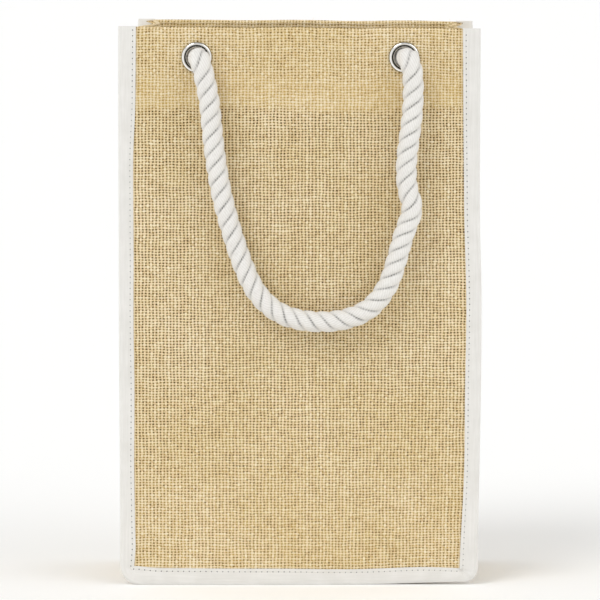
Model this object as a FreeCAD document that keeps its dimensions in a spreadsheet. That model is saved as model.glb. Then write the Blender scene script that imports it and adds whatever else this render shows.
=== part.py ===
import FreeCAD, Part
import math
import os
import Sketcher
from FreeCAD import Placement, Rotation, Vector

# Wine gift bag for two bottles: jute cloth panels joined by bound seams, with rope handles.
# Millimetres. +Z up, origin on the ground under the middle of the bag, front faces -Y.
# The front half of the hardware is built where it lies, and the back half is the same turned
# 180 degrees about Z.

SIZES = {
    "bag_width": 226.0,         # over the bindings
    "bag_height": 350.0,
    "bag_depth": 100.0,         # between the outer faces of the front and back panels
    "cloth": 1.2,               # thickness of one layer of jute
    "layer_gap": 0.3,           # room between folded layers of cloth
    "seam_gap": 0.1,            # room between a panel and the gusset's flange
    "tape": 0.5,                # thickness of the binding tape
    "tape_gap": 0.1,            # room between the tape and the cloth that it holds
    "seam_width": 10.2,         # how far the tape reaches in from the bag's edge
    "wall_gap": 0.3,            # room between the tape's inner edge and the gusset's wall
    "corner_radius": 12.5,      # bottom corners of the bindings
    "gusset_radius": 5.0,       # where the gusset turns from a side into the bottom
    "hem_depth": 52.0,
    "hem_turn": 20.0,           # raw edge turned under inside the hem
    "hem_end_gap": 0.5,         # room between a panel's hem and the gusset's hem
    "thread_width": 0.5,
    "thread_height": 0.3,
    "stitch_inset": 2.0,        # from the tape's inner edge to the row of stitches
    "thread_end": 1.0,          # from the top edge down to the thread's ends
    "eyelet_spacing": 128.8,
    "eyelet_drop": 18.8,        # from the top edge down to the eyelets' centres
    "eyelet_diameter": 19.2,
    "eyelet_height": 1.8,       # how far the rolled rim stands out of the cloth
    "barrel_wall": 0.5,
    "barrel_gap": 0.2,          # round the barrel, to the cloth and to the washer
    "washer_thickness": 0.8,
    "lip_height": 0.6,          # the barrel's end, rolled over the washer
    "lip_width": 1.6,
    "rope_diameter": 12.5,
    "rope_gap": 0.15,           # round the rope in an eyelet
    "bend_radius": 10.2,        # the rope's centreline where it turns down out of an eyelet
    "knot_diameter": 26.0,
    "knot_sink": 1.2,           # flat that the knot gets against the washer
    "divider_drop": 5.0,        # from the hem's lower edge down to the divider's top
    "divider_flange": 15.0,
    "divider_gap": 0.3,         # between the divider and the cloth round it
    "bend_tilt": 16.0,          # degrees: how far the bends lean to +X seen from the front
}

# The front rope's route between its two bends: X, distance out from the panel's outer face, Z.
# The first and last points come from the eyelets.
ROPE_ROUTE = [
    (-54.8, 11.9, 286.0),
    (-52.2, 11.6, 265.0),
    (-48.6, 11.3, 244.0),
    (-43.0, 11.0, 222.0),
    (-36.2, 10.8, 201.0),
    (-27.2, 10.6, 182.0),
    (-12.6, 10.5, 169.2),
    (6.5, 10.4, 164.6),
    (25.8, 10.5, 165.4),
    (43.0, 10.7, 172.2),
    (54.6, 10.9, 187.2),
    (60.6, 11.2, 205.5),
    (65.0, 11.4, 221.5),
    (70.2, 11.6, 236.0),
    (66.2, 11.7, 251.0),
    (65.6, 11.8, 268.0),
    (67.8, 11.9, 283.0),
    (69.4, 12.0, 297.0),
]
FIRST_RUN = 17.0        # straight run out of the first bend, and into the last one
LAST_RUN = 12.0
RIM_ROUND = 0.8         # how much of the eyelet rim's height its outer edge is rounded over
KNOT_OVERLAP = 3.0      # how far the rope runs on inside its knot
CLEAR = 5.0             # how far a cut runs past what it cuts


class Size:
    """A length together with the expression that gives it from the sheet."""

    def __init__(self, value, text):
        self.value = value
        self.text = text

    def joined(self, sign, other, value):
        return Size(value, f"({self.text} {sign} {text_of(other)})")

    def __add__(self, other):
        return self.joined("+", other, self.value + value_of(other))

    def __sub__(self, other):
        return self.joined("-", other, self.value - value_of(other))

    def __mul__(self, number):
        return self.joined("*", number, self.value * number)

    def __neg__(self):
        return self * -1


def value_of(length):
    return length.value if isinstance(length, Size) else length


def text_of(length):
    return length.text if isinstance(length, Size) else str(length)


doc = FreeCAD.newDocument("WineGiftBag")
sheet = doc.addObject("Spreadsheet::Sheet", "Sizes")
size = {}
for row, (name, number) in enumerate(SIZES.items(), start=1):
    sheet.set(f"A{row}", name)
    sheet.set(f"B{row}", str(number))
    sheet.setAlias(f"B{row}", name)
    size[name] = Size(number, f"Sizes.{name}")
doc.recompute()

# Lengths that several pieces share.
CLOTH = size["cloth"]
TAPE = size["tape"]
TOP = size["bag_height"]
HALF_WIDTH = size["bag_width"] * 0.5
HALF_DEPTH = size["bag_depth"] * 0.5
TAPE_INSIDE = TAPE + size["tape_gap"]
CLOTH_EDGE = HALF_WIDTH - TAPE_INSIDE
CLOTH_CORNER = size["corner_radius"] - TAPE_INSIDE
STRIP_HALF_DEPTH = HALF_DEPTH - CLOTH - size["seam_gap"]
SEAM_INSIDE = STRIP_HALF_DEPTH - CLOTH
BASE_HEIGHT = size["seam_width"] + size["wall_gap"]
WALL = HALF_WIDTH - BASE_HEIGHT
HEM_THICKNESS = CLOTH * 3 + size["layer_gap"] * 2
EYELET_X = size["eyelet_spacing"] * 0.5
EYELET_Z = TOP - size["eyelet_drop"]
BARREL_BORE = size["rope_diameter"] * 0.5 + size["rope_gap"]
BARREL_OUTSIDE = BARREL_BORE + size["barrel_wall"]
BARREL_HOLE = BARREL_OUTSIDE + size["barrel_gap"]
WASHER_FACE = HEM_THICKNESS + size["washer_thickness"]
LIP_FACE = WASHER_FACE + size["lip_height"]
PAST_TOP = TOP + CLEAR

subparts = []


def bind(thing, prop, length):
    thing.setExpression(prop, text_of(length))


def plane(body, role):
    return next(item for item in body.Origin.OriginFeatures if item.Role == role)


def new_body(label):
    body = doc.addObject("PartDesign::Body", label)
    body.Label = label
    subparts.append(body)
    return body


def sketch_on(body, role, offset=0):
    """A sketch on one of the body's own planes, moved out along the plane's normal."""
    sketch = body.newObject("Sketcher::SketchObject", "Outline")
    sketch.AttachmentSupport = [(plane(body, role), "")]
    sketch.MapMode = "FlatFace"
    sketch.AttachmentOffset = Placement(Vector(0, 0, value_of(offset)), Rotation())
    if isinstance(offset, Size):
        bind(sketch, "AttachmentOffset.Base.z", offset)
    return sketch


def pin(sketch, kind, line, length):
    """Hold a line's start at its distance from the sketch's origin, or on its axis."""
    if value_of(length) == 0:
        axis = -2 if kind == "DistanceX" else -1
        sketch.addConstraint(Sketcher.Constraint("PointOnObject", line, 1, axis))
        return
    index = sketch.addConstraint(Sketcher.Constraint(kind, -1, 1, line, 1, value_of(length)))
    if isinstance(length, Size):
        sketch.setExpression(f"Constraints[{index}]", text_of(length))


def polygon(sketch, corners):
    """A closed outline of straight lines with each corner held at its own two lengths."""
    points = [Vector(value_of(across), value_of(up), 0) for across, up in corners]
    first = sketch.GeometryCount
    for start, end in zip(points, points[1:] + points[:1]):
        sketch.addGeometry(Part.LineSegment(start, end), False)
    count = len(corners)
    for step in range(count):
        line = first + step
        following = first + (step + 1) % count
        sketch.addConstraint(Sketcher.Constraint("Coincident", line, 2, following, 1))
    for step, (across, up) in enumerate(corners):
        pin(sketch, "DistanceX", first + step, across)
        pin(sketch, "DistanceY", first + step, up)


def circle(sketch, across, up, radius):
    """A circle held by its centre and radius."""
    centre = Vector(value_of(across), value_of(up), 0)
    ring = sketch.addGeometry(Part.Circle(centre, Vector(0, 0, 1), value_of(radius)), False)
    for kind, length in (("DistanceX", across), ("DistanceY", up)):
        index = sketch.addConstraint(Sketcher.Constraint(kind, -1, 1, ring, 3, value_of(length)))
        sketch.setExpression(f"Constraints[{index}]", text_of(length))
    index = sketch.addConstraint(Sketcher.Constraint("Radius", ring, value_of(radius)))
    sketch.setExpression(f"Constraints[{index}]", text_of(radius))


def pad(body, sketch, length, symmetric=False):
    feature = body.newObject("PartDesign::Pad", "Pad")
    feature.Profile = sketch
    feature.SideType = "Symmetric" if symmetric else "One side"
    feature.Length = value_of(length)
    bind(feature, "Length", length)
    doc.recompute()
    return feature


def pocket(body, sketch, length, symmetric=False):
    """Cut along the sketch's normal, and stop if nothing was cut."""
    before = body.Shape.Volume
    feature = body.newObject("PartDesign::Pocket", "Pocket")
    feature.Profile = sketch
    feature.SideType = "Symmetric" if symmetric else "One side"
    feature.Reversed = not symmetric
    feature.Length = value_of(length)
    bind(feature, "Length", length)
    doc.recompute()
    if feature.Shape.Volume > before - 1:
        raise RuntimeError(f"{body.Label}: a pocket cut nothing")
    return feature


def fillet(body, radius, *places):
    """Round each edge that lies whole at one of the places, each a dict of near's coordinates."""
    base = body.Tip
    names = []
    for number, edge in enumerate(base.Shape.Edges, start=1):
        ends = [vertex.Point for vertex in edge.Vertexes]
        if any(all(near(end, **place) for end in ends) for place in places):
            names.append(f"Edge{number}")
    if not names:
        raise RuntimeError(f"{body.Label}: no edge to round")
    feature = body.newObject("PartDesign::Fillet", "Round")
    feature.Base = (base, names)
    feature.Radius = value_of(radius)
    bind(feature, "Radius", radius)
    doc.recompute()


def near(point, x=None, y=None, z=None):
    """True where the point has the given coordinates, whatever the others are."""
    pairs = ((point.x, x), (point.y, y), (point.z, z))
    return all(wanted is None or abs(have - value_of(wanted)) < 0.01 for have, wanted in pairs)


def lower_corners(across, up):
    """The corner that runs along Y at (across, up), and its mirror image in X = 0."""
    return {"x": across, "z": up}, {"x": -across, "z": up}


def turned(thing, turn):
    """Turn a finished piece about Z, which takes the front half's pieces to the back."""
    thing.Placement = Placement(Vector(), Rotation(Vector(0, 0, 1), turn)) * thing.Placement


def u_outline(outside, outside_up, inside, inside_up, top):
    """A U open at the top, between an outer and an inner rectangle."""
    return [
        (-outside, top),
        (-outside, outside_up),
        (outside, outside_up),
        (outside, top),
        (inside, top),
        (inside, inside_up),
        (-inside, inside_up),
        (-inside, top),
    ]


def hem_outline():
    """The turned-in hem in section, as depth in from the cloth's outer face, and height."""
    low = TOP - size["hem_depth"]
    turn_top = low + size["hem_turn"]
    second = CLOTH + size["layer_gap"]
    second_back = second + CLOTH
    third = second_back + size["layer_gap"]
    return [
        (0, TOP),
        (HEM_THICKNESS, TOP),
        (HEM_THICKNESS, low),
        (second, low),
        (second, turn_top),
        (second_back, turn_top),
        (second_back, low + CLOTH),
        (third, low + CLOTH),
        (third, TOP - CLOTH),
        (0, TOP - CLOTH),
    ]


def make_panel(label, turn):
    """Front or back panel: one layer of jute with its top edge folded in to a deep hem."""
    body = new_body(label)
    outline = sketch_on(body, "XZ_Plane", HALF_DEPTH - CLOTH)
    polygon(outline, [
        (-CLOTH_EDGE, TOP),
        (-CLOTH_EDGE, TAPE_INSIDE),
        (CLOTH_EDGE, TAPE_INSIDE),
        (CLOTH_EDGE, TOP),
    ])
    pad(body, outline, CLOTH)
    fillet(body, CLOTH_CORNER, *lower_corners(CLOTH_EDGE, TAPE_INSIDE))

    hem = sketch_on(body, "YZ_Plane")
    polygon(hem, [(-HALF_DEPTH + depth, height) for depth, height in hem_outline()])
    hem_half = WALL - HEM_THICKNESS - size["hem_end_gap"]
    pad(body, hem, hem_half * 2, symmetric=True)
    fillet(body, CLOTH, {"y": HEM_THICKNESS - HALF_DEPTH, "z": TOP})

    holes = sketch_on(body, "XZ_Plane")
    for side in (-1, 1):
        circle(holes, EYELET_X * side, EYELET_Z, BARREL_HOLE)
    pocket(body, holes, size["bag_depth"] * 2, symmetric=True)
    turned(body, turn)


def make_gusset():
    """One strip of jute: left side, bottom and right side, with flanges turned out to the seams."""
    body = new_body("gusset_strip")
    block = sketch_on(body, "XZ_Plane")
    polygon(block, [
        (-CLOTH_EDGE, TOP),
        (-CLOTH_EDGE, TAPE_INSIDE),
        (CLOTH_EDGE, TAPE_INSIDE),
        (CLOTH_EDGE, TOP),
    ])
    pad(body, block, STRIP_HALF_DEPTH * 2, symmetric=True)
    fillet(body, CLOTH_CORNER, *lower_corners(CLOTH_EDGE, TAPE_INSIDE))

    between = sketch_on(body, "XZ_Plane")
    past = HALF_WIDTH + CLEAR
    polygon(between, u_outline(past, TAPE_INSIDE - CLEAR, WALL, BASE_HEIGHT, PAST_TOP))
    pocket(body, between, SEAM_INSIDE * 2, symmetric=True)

    inner = WALL - CLOTH
    floor = BASE_HEIGHT + CLOTH
    room = sketch_on(body, "XZ_Plane")
    polygon(room, [(-inner, PAST_TOP), (-inner, floor), (inner, floor), (inner, PAST_TOP)])
    pocket(body, room, size["bag_depth"] * 2, symmetric=True)
    fillet(body, size["gusset_radius"], *lower_corners(inner, floor))
    fillet(body, size["gusset_radius"] + CLOTH, *lower_corners(WALL, BASE_HEIGHT))

    hem_length = (SEAM_INSIDE - size["hem_end_gap"]) * 2
    for side in (-1, 1):
        hem = sketch_on(body, "XZ_Plane")
        polygon(hem, [((WALL - depth) * side, height) for depth, height in hem_outline()])
        pad(body, hem, hem_length, symmetric=True)


def make_divider():
    """A single layer across the middle of the bag, its upright edges turned to opposite sides."""
    body = new_body("divider")
    half = CLOTH * 0.5
    reach = HALF_DEPTH - CLOTH - size["divider_gap"]
    back = reach - CLOTH
    flange = size["divider_flange"]
    low = BASE_HEIGHT + CLOTH + size["divider_gap"]
    top = TOP - size["hem_depth"] - size["divider_drop"]
    outline = sketch_on(body, "XY_Plane", low)
    polygon(outline, [
        (-half, -reach),
        (flange, -reach),
        (flange, -back),
        (half, -back),
        (half, reach),
        (-flange, reach),
        (-flange, back),
        (-half, back),
    ])
    pad(body, outline, top - low)


def make_binding(label, turn):
    """Tape folded round the raw edges of a panel and the gusset's flange."""
    body = new_body(label)
    inside = HALF_WIDTH - size["seam_width"]
    back_leaf = SEAM_INSIDE - TAPE_INSIDE
    front_leaf = HALF_DEPTH + TAPE_INSIDE
    ring = sketch_on(body, "XZ_Plane", back_leaf)
    polygon(ring, u_outline(HALF_WIDTH, 0, inside, size["seam_width"], TOP))
    pad(body, ring, front_leaf - back_leaf)

    fold = sketch_on(body, "XZ_Plane", back_leaf + TAPE)
    past = inside - CLEAR
    polygon(fold, u_outline(HALF_WIDTH - TAPE, TAPE, past, size["seam_width"] + CLEAR, PAST_TOP))
    pocket(body, fold, front_leaf - back_leaf - TAPE * 2)
    fillet(body, size["corner_radius"] - TAPE, *lower_corners(HALF_WIDTH - TAPE, TAPE))
    fillet(body, size["corner_radius"], *lower_corners(HALF_WIDTH, 0))
    turned(body, turn)


def make_thread(label, turn, face, outwards):
    """One thread of a lock-stitched seam, lying on one face of the tape."""
    body = new_body(label)
    outer = size["seam_width"] - size["stitch_inset"]
    inner = outer + size["thread_width"]
    start = face if outwards else face - size["thread_height"]
    run = sketch_on(body, "XZ_Plane", start)
    outline = u_outline(HALF_WIDTH - outer, outer, HALF_WIDTH - inner, inner, TOP - size["thread_end"])
    polygon(run, outline)
    pad(body, run, size["thread_height"])
    turned(body, turn)


def set_on_panel(thing, side, turn):
    """Place a turned piece whose own Z runs into the bag from the panel's outer face."""
    ends = 1 if turn == 0 else -1
    base = (EYELET_X * (side * ends), HALF_DEPTH * -ends, EYELET_Z)
    thing.Placement = Placement(
        Vector(*[value_of(length) for length in base]),
        Rotation(Vector(0, 0, 1), turn) * Rotation(Vector(1, 0, 0), -90),
    )
    for axis, length in zip("xyz", base):
        bind(thing, f"Placement.Base.{axis}", length)


def make_eyelet(label, side, turn):
    """The eyelet's outer half: rolled rim, barrel and the lip rolled over the washer."""
    body = new_body(label)
    profile = sketch_on(body, "XZ_Plane")
    rim = size["eyelet_diameter"] * 0.5
    height = size["eyelet_height"]
    polygon(profile, [
        (BARREL_BORE, -height),
        (rim, -height),
        (rim, 0),
        (BARREL_OUTSIDE, 0),
        (BARREL_OUTSIDE, WASHER_FACE),
        (BARREL_BORE + size["lip_width"], WASHER_FACE),
        (BARREL_BORE + size["lip_width"], LIP_FACE),
        (BARREL_BORE, LIP_FACE),
    ])
    spin = body.newObject("PartDesign::Revolution", "Revolution")
    spin.Profile = profile
    spin.ReferenceAxis = (profile, ["V_Axis"])
    spin.Angle = 360
    doc.recompute()
    fillet(body, height * RIM_ROUND, {"x": rim, "z": -height})
    set_on_panel(body, side, turn)


def make_washer(label, side, turn):
    """The eyelet's inner half: a flat ring against the hem."""
    body = new_body(label)
    ring = sketch_on(body, "XY_Plane", HEM_THICKNESS)
    circle(ring, 0, 0, size["eyelet_diameter"] * 0.5)
    circle(ring, 0, 0, BARREL_HOLE)
    pad(body, ring, size["washer_thickness"])
    set_on_panel(body, side, turn)


def make_rope_end(label, side, turn):
    """The rope through the eyelet, and the stopper knot that holds it inside the bag."""
    stub = doc.addObject("Part::Cylinder", "Stub")
    bind(stub, "Radius", size["rope_diameter"] * 0.5)
    knot_face = LIP_FACE + size["layer_gap"]
    bind(stub, "Height", size["eyelet_height"] + knot_face + KNOT_OVERLAP)
    bind(stub, "Placement.Base.z", -size["eyelet_height"])
    knot = doc.addObject("Part::Sphere", "Knot")
    radius = size["knot_diameter"] * 0.5
    bind(knot, "Radius", radius)
    bind(knot, "Placement.Base.z", knot_face + radius - size["knot_sink"])
    flat = doc.addObject("Part::Cylinder", "Flat")
    bind(flat, "Radius", radius)
    bind(flat, "Height", knot_face)
    shaved = doc.addObject("Part::Cut", "ShavedKnot")
    shaved.Base = knot
    shaved.Tool = flat
    joined = doc.addObject("Part::Fuse", label)
    joined.Base = stub
    joined.Tool = shaved
    joined.Label = label
    set_on_panel(joined, side, turn)
    subparts.append(joined)


def bend_direction():
    """The way the rope points where it leaves a front bend: down, leaning to +X."""
    tilt = math.radians(SIZES["bend_tilt"])
    return Vector(math.sin(tilt), 0, -math.cos(tilt))


def bend_start(side):
    """Where the rope leaves the front eyelet's rim."""
    out = value_of(HALF_DEPTH + size["eyelet_height"])
    return Vector(side * value_of(EYELET_X), -out, value_of(EYELET_Z))


def bend_end(side):
    radius = SIZES["bend_radius"]
    return bend_start(side) + bend_direction() * radius + Vector(0, -radius, 0)


def make_bend(label, side, turn):
    """A quarter turn of rope, from straight out of the eyelet to hanging."""
    bend = doc.addObject("Part::Torus", label)
    bend.Label = label
    bend.Angle3 = 90
    bind(bend, "Radius1", size["bend_radius"])
    bind(bend, "Radius2", size["rope_diameter"] * 0.5)
    down = bend_direction()
    out = Vector(0, -1, 0)
    centre = bend_start(side) + down * SIZES["bend_radius"]
    bend.Placement = Placement(centre, Rotation(-down, out, Vector(), "XYZ"))
    turned(bend, turn)
    subparts.append(bend)


def tube_path(points):
    """Straight runs joined by tangent arcs, each arc as large as its two runs allow."""
    edges = []
    radii = []
    last = points[0]
    for before, corner, after in zip(points, points[1:], points[2:]):
        arriving = (corner - before).normalize()
        leaving = (after - corner).normalize()
        half_turn = arriving.getAngle(leaving) / 2
        trim = 0.45 * min((corner - before).Length, (after - corner).Length)
        radius = trim / math.tan(half_turn)
        start = corner - arriving * trim
        end = corner + leaving * trim
        inwards = (leaving - arriving).normalize()
        reach = radius / math.cos(half_turn) - radius
        edges.append(Part.LineSegment(last, start).toShape())
        edges.append(Part.Arc(start, corner + inwards * reach, end).toShape())
        radii.append(radius)
        last = end
    edges.append(Part.LineSegment(last, points[-1]).toShape())
    return Part.Wire(edges), radii


def make_rope(label, turn):
    """The hanging length of rope between its two bends."""
    face = value_of(HALF_DEPTH)
    middle = [Vector(x, -face - out, z) for x, out, z in ROPE_ROUTE]
    start = bend_end(-1)
    end = bend_end(1)
    points = [start, start + bend_direction() * FIRST_RUN]
    points += middle
    points += [end + bend_direction() * LAST_RUN, end]
    path, radii = tube_path(points)
    rope_radius = SIZES["rope_diameter"] / 2
    section = Part.Wire(Part.Circle(start, bend_direction(), rope_radius).toShape())
    tube = path.makePipeShell([section], True, False)
    expected = math.pi * rope_radius ** 2 * path.Length
    print(f"{label}: length {path.Length:.1f}, volume {tube.Volume / expected:.4f} of section x length")
    print("  arc radii:", " ".join(f"{radius:.0f}" for radius in radii))
    rope = doc.addObject("Part::Feature", label)
    rope.Label = label
    rope.Shape = tube
    turned(rope, turn)
    subparts.append(rope)


for half, turn in (("front", 0), ("back", 180)):
    make_panel(f"{half}_panel", turn)
    make_binding(f"{half}_binding", turn)
    outer_face = HALF_DEPTH + TAPE_INSIDE
    inner_face = SEAM_INSIDE - TAPE_INSIDE
    make_thread(f"{half}_needle_thread", turn, outer_face, outwards=True)
    make_thread(f"{half}_bobbin_thread", turn, inner_face, outwards=False)
    for side in (-1, 1):
        facing = side if turn == 0 else -side
        place = f"{half}_{'left' if facing < 0 else 'right'}"
        make_eyelet(f"{place}_eyelet", side, turn)
        make_washer(f"{place}_eyelet_washer", side, turn)
        make_rope_end(f"{place}_rope_end", side, turn)
        make_bend(f"{place}_rope_bend", side, turn)
    make_rope(f"{half}_rope_handle", turn)
make_gusset()
make_divider()
doc.recompute()

for thing in doc.Objects:
    if "Invalid" in thing.State or "Error" in thing.State:
        raise RuntimeError(f"{thing.Label} failed: {thing.State}")
for thing in subparts:
    if thing.Shape.isNull() or not thing.Shape.isValid():
        raise RuntimeError(f"{thing.Label} has no valid shape")

os.makedirs("parts", exist_ok=True)
for thing in subparts:
    thing.Shape.exportStep(os.path.join("parts", f"{thing.Label}.step"))
    box = thing.Shape.BoundBox
    print(f"{thing.Label}: {len(thing.Shape.Solids)} solid, {thing.Shape.Volume:.0f} mm3, "
          f"x {box.XMin:.1f}..{box.XMax:.1f} y {box.YMin:.1f}..{box.YMax:.1f} "
          f"z {box.ZMin:.1f}..{box.ZMax:.1f}")
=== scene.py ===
"""Wine gift bag: jute cloth with bound seams, nickel-plated eyelets and two cotton rope handles.

Metres, in the frame of the CAD model: +Z up, the front faces -Y, the bag stands on Z = 0.
"""

import math
import random

import bpy
import numpy as np
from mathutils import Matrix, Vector
from mathutils.bvhtree import BVHTree


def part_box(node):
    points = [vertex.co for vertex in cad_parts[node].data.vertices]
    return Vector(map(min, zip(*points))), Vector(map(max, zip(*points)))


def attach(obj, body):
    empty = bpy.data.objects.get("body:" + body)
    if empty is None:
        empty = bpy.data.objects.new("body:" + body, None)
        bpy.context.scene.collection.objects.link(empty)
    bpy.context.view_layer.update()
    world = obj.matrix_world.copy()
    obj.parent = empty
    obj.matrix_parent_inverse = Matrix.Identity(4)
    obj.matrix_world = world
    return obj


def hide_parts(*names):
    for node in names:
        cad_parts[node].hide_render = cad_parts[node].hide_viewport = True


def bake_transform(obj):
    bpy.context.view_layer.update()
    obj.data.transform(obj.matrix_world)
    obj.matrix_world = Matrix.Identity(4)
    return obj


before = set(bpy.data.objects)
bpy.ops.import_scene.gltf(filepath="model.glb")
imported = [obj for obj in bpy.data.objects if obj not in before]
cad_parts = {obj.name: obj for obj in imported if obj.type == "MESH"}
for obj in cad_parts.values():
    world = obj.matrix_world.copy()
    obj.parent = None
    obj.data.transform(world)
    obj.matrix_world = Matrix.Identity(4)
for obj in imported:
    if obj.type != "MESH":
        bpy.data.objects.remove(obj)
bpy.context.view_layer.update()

MM = 0.001
HALVES = (("front", -1), ("back", 1))   # and which way each faces, along Y
SIDES = ((-1, "left"), (1, "right"))    # as seen from the front

# ---------------------------------------------------------------- sizes, from the frame
panel_low, panel_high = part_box("front_panel")
tape_low, tape_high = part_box("front_binding")
gusset_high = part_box("gusset_strip")[1]
divider_low, divider_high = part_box("divider")
eyelet_low, eyelet_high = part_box("front_right_eyelet")
washer_low, washer_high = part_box("front_right_eyelet_washer")

HEIGHT = tape_high.z
HALF_WIDTH = tape_high.x
FACE = -panel_low.y                     # outer face of a panel, from the bag's middle
HEM_FACE = -panel_high.y                # inner face of its hem
CLOTH_EDGE = panel_high.x
CLOTH_CUT = CLOTH_EDGE - 2.2 * MM       # the raw edge, drawn back inside the rounded tape
EYELET_X = (eyelet_low.x + eyelet_high.x) / 2
EYELET_Z = (eyelet_low.z + eyelet_high.z) / 2
EYELET_RIM = (eyelet_high.x - eyelet_low.x) / 2
RIM_FRONT = -eyelet_low.y
WASHER_FRONT = -washer_low.y
WASHER_BACK = -washer_high.y

CLOTH = 1.2 * MM                        # one layer of jute
TAPE = 0.5 * MM
DRAWN_SHARE = 0.9                       # of its thickness, so that a layer clears the next
SEAM_WIDTH = 10.2 * MM                  # how far the tape reaches in from the bag's edge
HEM_DEPTH = 52 * MM
HEM_TURN = 20 * MM
CORNER = 12.5 * MM                      # radius of the bottom corners
BARREL_CLEARED = 7.6 * MM               # radius of the hole cut in the cloth for an eyelet
STITCH_PITCH = 3.5 * MM
STITCH_INSET = 2 * MM                   # from the tape's inner edge
THREAD = 0.42 * MM
NEEDLE_HOLE = 0.85 * MM
ROPE = 12.5 * MM
ROPE_LAY = 27 * MM                      # one turn of the strands round the rope
STRANDS = 3
WARP_PITCH = 2.16 * MM                  # jute threads, across the bag
WEFT_PITCH = 1.75 * MM                  # and up it

# ---------------------------------------------------------------- camera, floor and light


def look_at(thing, target):
    thing.rotation_euler = (Vector(target) - thing.location).to_track_quat("-Z", "Y").to_euler()


def add_object(name, data):
    thing = bpy.data.objects.new(name, data)
    bpy.context.scene.collection.objects.link(thing)
    return thing


def make_camera():
    """A long lens, level with the bag's top and tipped down a little."""
    distance = 3.0
    pitch = math.radians(6)
    seen_width = 0.3742                 # at the front panel
    sensor = 36
    target = Vector((-0.0003, -FACE, 0.1798))
    camera = add_object("camera", bpy.data.cameras.new("camera"))
    camera.data.sensor_width = sensor
    camera.data.lens = sensor * distance / seen_width
    camera.location = target + distance * Vector((0, -math.cos(pitch), math.sin(pitch)))
    look_at(camera, target)
    bpy.context.scene.camera = camera


make_camera()


def linear(code):
    """An sRGB hex colour as the linear RGBA that Blender's sockets hold."""
    channels = [int(code[i:i + 2], 16) / 255 for i in (1, 3, 5)]
    shades = [c / 12.92 if c <= 0.04045 else ((c + 0.055) / 1.055) ** 2.4 for c in channels]
    return (*shades, 1)


def add(tree, kind, *values, **settings):
    """Add a node: settings are its properties, values fill its inputs in order (None is left).

    A value that is itself an output socket is linked, and a dict fills the inputs that it names.
    """
    node = tree.nodes.new(kind)
    for name, setting in settings.items():
        setattr(node, name, setting)
    pairs = []
    for index, value in enumerate(values):
        if isinstance(value, dict):
            pairs += [(node.inputs[key], item) for key, item in value.items()]
        else:
            pairs.append((node.inputs[index], value))
    for socket, value in pairs:
        if isinstance(value, bpy.types.NodeSocket):
            tree.links.new(value, socket)
        elif value is not None:
            socket.default_value = value
    return node.outputs


def new_material(name):
    material = bpy.data.materials.new(name)
    material.use_nodes = True
    material.node_tree.nodes.clear()
    return material, material.node_tree


def add_sun(name, toward, strength, spread):
    """A very wide, far softbox, spread degrees across: its shadows have no edge."""
    lamp = bpy.data.lights.new(name, "SUN")
    lamp.energy = strength
    lamp.angle = math.radians(spread)
    thing = add_object(name, lamp)
    thing.location = toward
    look_at(thing, (0, 0, 0))


def make_studio():
    """A pale matt floor, soft light from the front and both sides, and a bright room."""
    scene = bpy.context.scene
    scene.view_settings.view_transform = "Standard"
    material, tree = new_material("studio_floor_matt_paint")
    paint = add(tree, "ShaderNodeBsdfPrincipled",
                {"Base Color": linear("#fefefd"), "Roughness": 0.9, "Specular IOR Level": 0.2})
    add(tree, "ShaderNodeOutputMaterial", paint["BSDF"])
    mesh = bpy.data.meshes.new("floor")
    far = 40
    mesh.from_pydata([(-far, -far, 0), (far, -far, 0), (far, far, 0), (-far, far, 0)], [],
                     [(0, 1, 2, 3)])
    mesh.materials.append(material)
    add_object("floor", mesh)

    # The room is brightest round the horizon, so that metal shows light and dark bands.
    world = bpy.data.worlds.new("studio")
    scene.world = world
    world.use_nodes = True
    tree = world.node_tree
    tree.nodes.clear()
    way = add(tree, "ShaderNodeSeparateXYZ", add(tree, "ShaderNodeTexCoord")["Generated"])
    horizon, overhead = 0.92, 0.38
    tone = add(tree, "ShaderNodeMapRange", way["Z"], 0.0, 1.0, horizon, overhead)[0]
    glow = add(tree, "ShaderNodeBackground", tone, 1.0)
    add(tree, "ShaderNodeOutputWorld", glow[0])

    add_sun("key_softbox", (-0.7, -0.8, 1.2), 1.0, 32)
    add_sun("fill_softbox", (0.9, -0.7, 0.9), 0.5, 40)
    add_sun("left_softbox", (-1.0, 0.25, 0.35), 0.6, 60)
    add_sun("right_softbox", (1.0, 0.25, 0.35), 0.6, 60)


make_studio()

# ---------------------------------------------------------------- the rope handles' lines

# The front rope's route, seen from the front, from the left eyelet to the right one: X,
# distance out from the panel's outer face, and Z, in millimetres.
ROPE_ROUTE = [
    (-64.1, -5.9, 330.9),
    (-63.9, 1.8, 330.7),
    (-62.2, 12.2, 331.4),
    (-59.6, 12.4, 321.0),
    (-56.4, 12.0, 305.0),
    (-54.8, 11.9, 286.1),
    (-52.2, 11.3, 265.6),
    (-48.6, 10.8, 245.2),
    (-43.0, 10.2, 223.8),
    (-36.2, 9.9, 203.1),
    (-27.2, 9.7, 184.1),
    (-12.6, 9.6, 171.3),
    (6.5, 9.5, 166.7),
    (25.8, 9.6, 167.5),
    (43.0, 9.8, 174.3),
    (54.6, 10.0, 189.3),
    (60.2, 10.3, 207.1),
    (64.6, 10.6, 223.4),
    (70.4, 11.0, 237.9),
    (65.6, 11.2, 251.1),
    (65.3, 11.6, 267.5),
    (67.6, 11.8, 283.2),
    (69.4, 12.0, 297.0),
    (69.9, 12.1, 309.0),
    (69.6, 12.4, 321.0),
    (67.2, 12.2, 331.4),
    (65.0, 1.8, 330.7),
    (64.8, -5.9, 330.9),
]
KNOT_FACE = 44.1 * MM                   # where the rope goes into its knot


def rope_route():
    return [Vector((x * MM, -FACE - out * MM, z * MM)) for x, out, z in ROPE_ROUTE]


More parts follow.
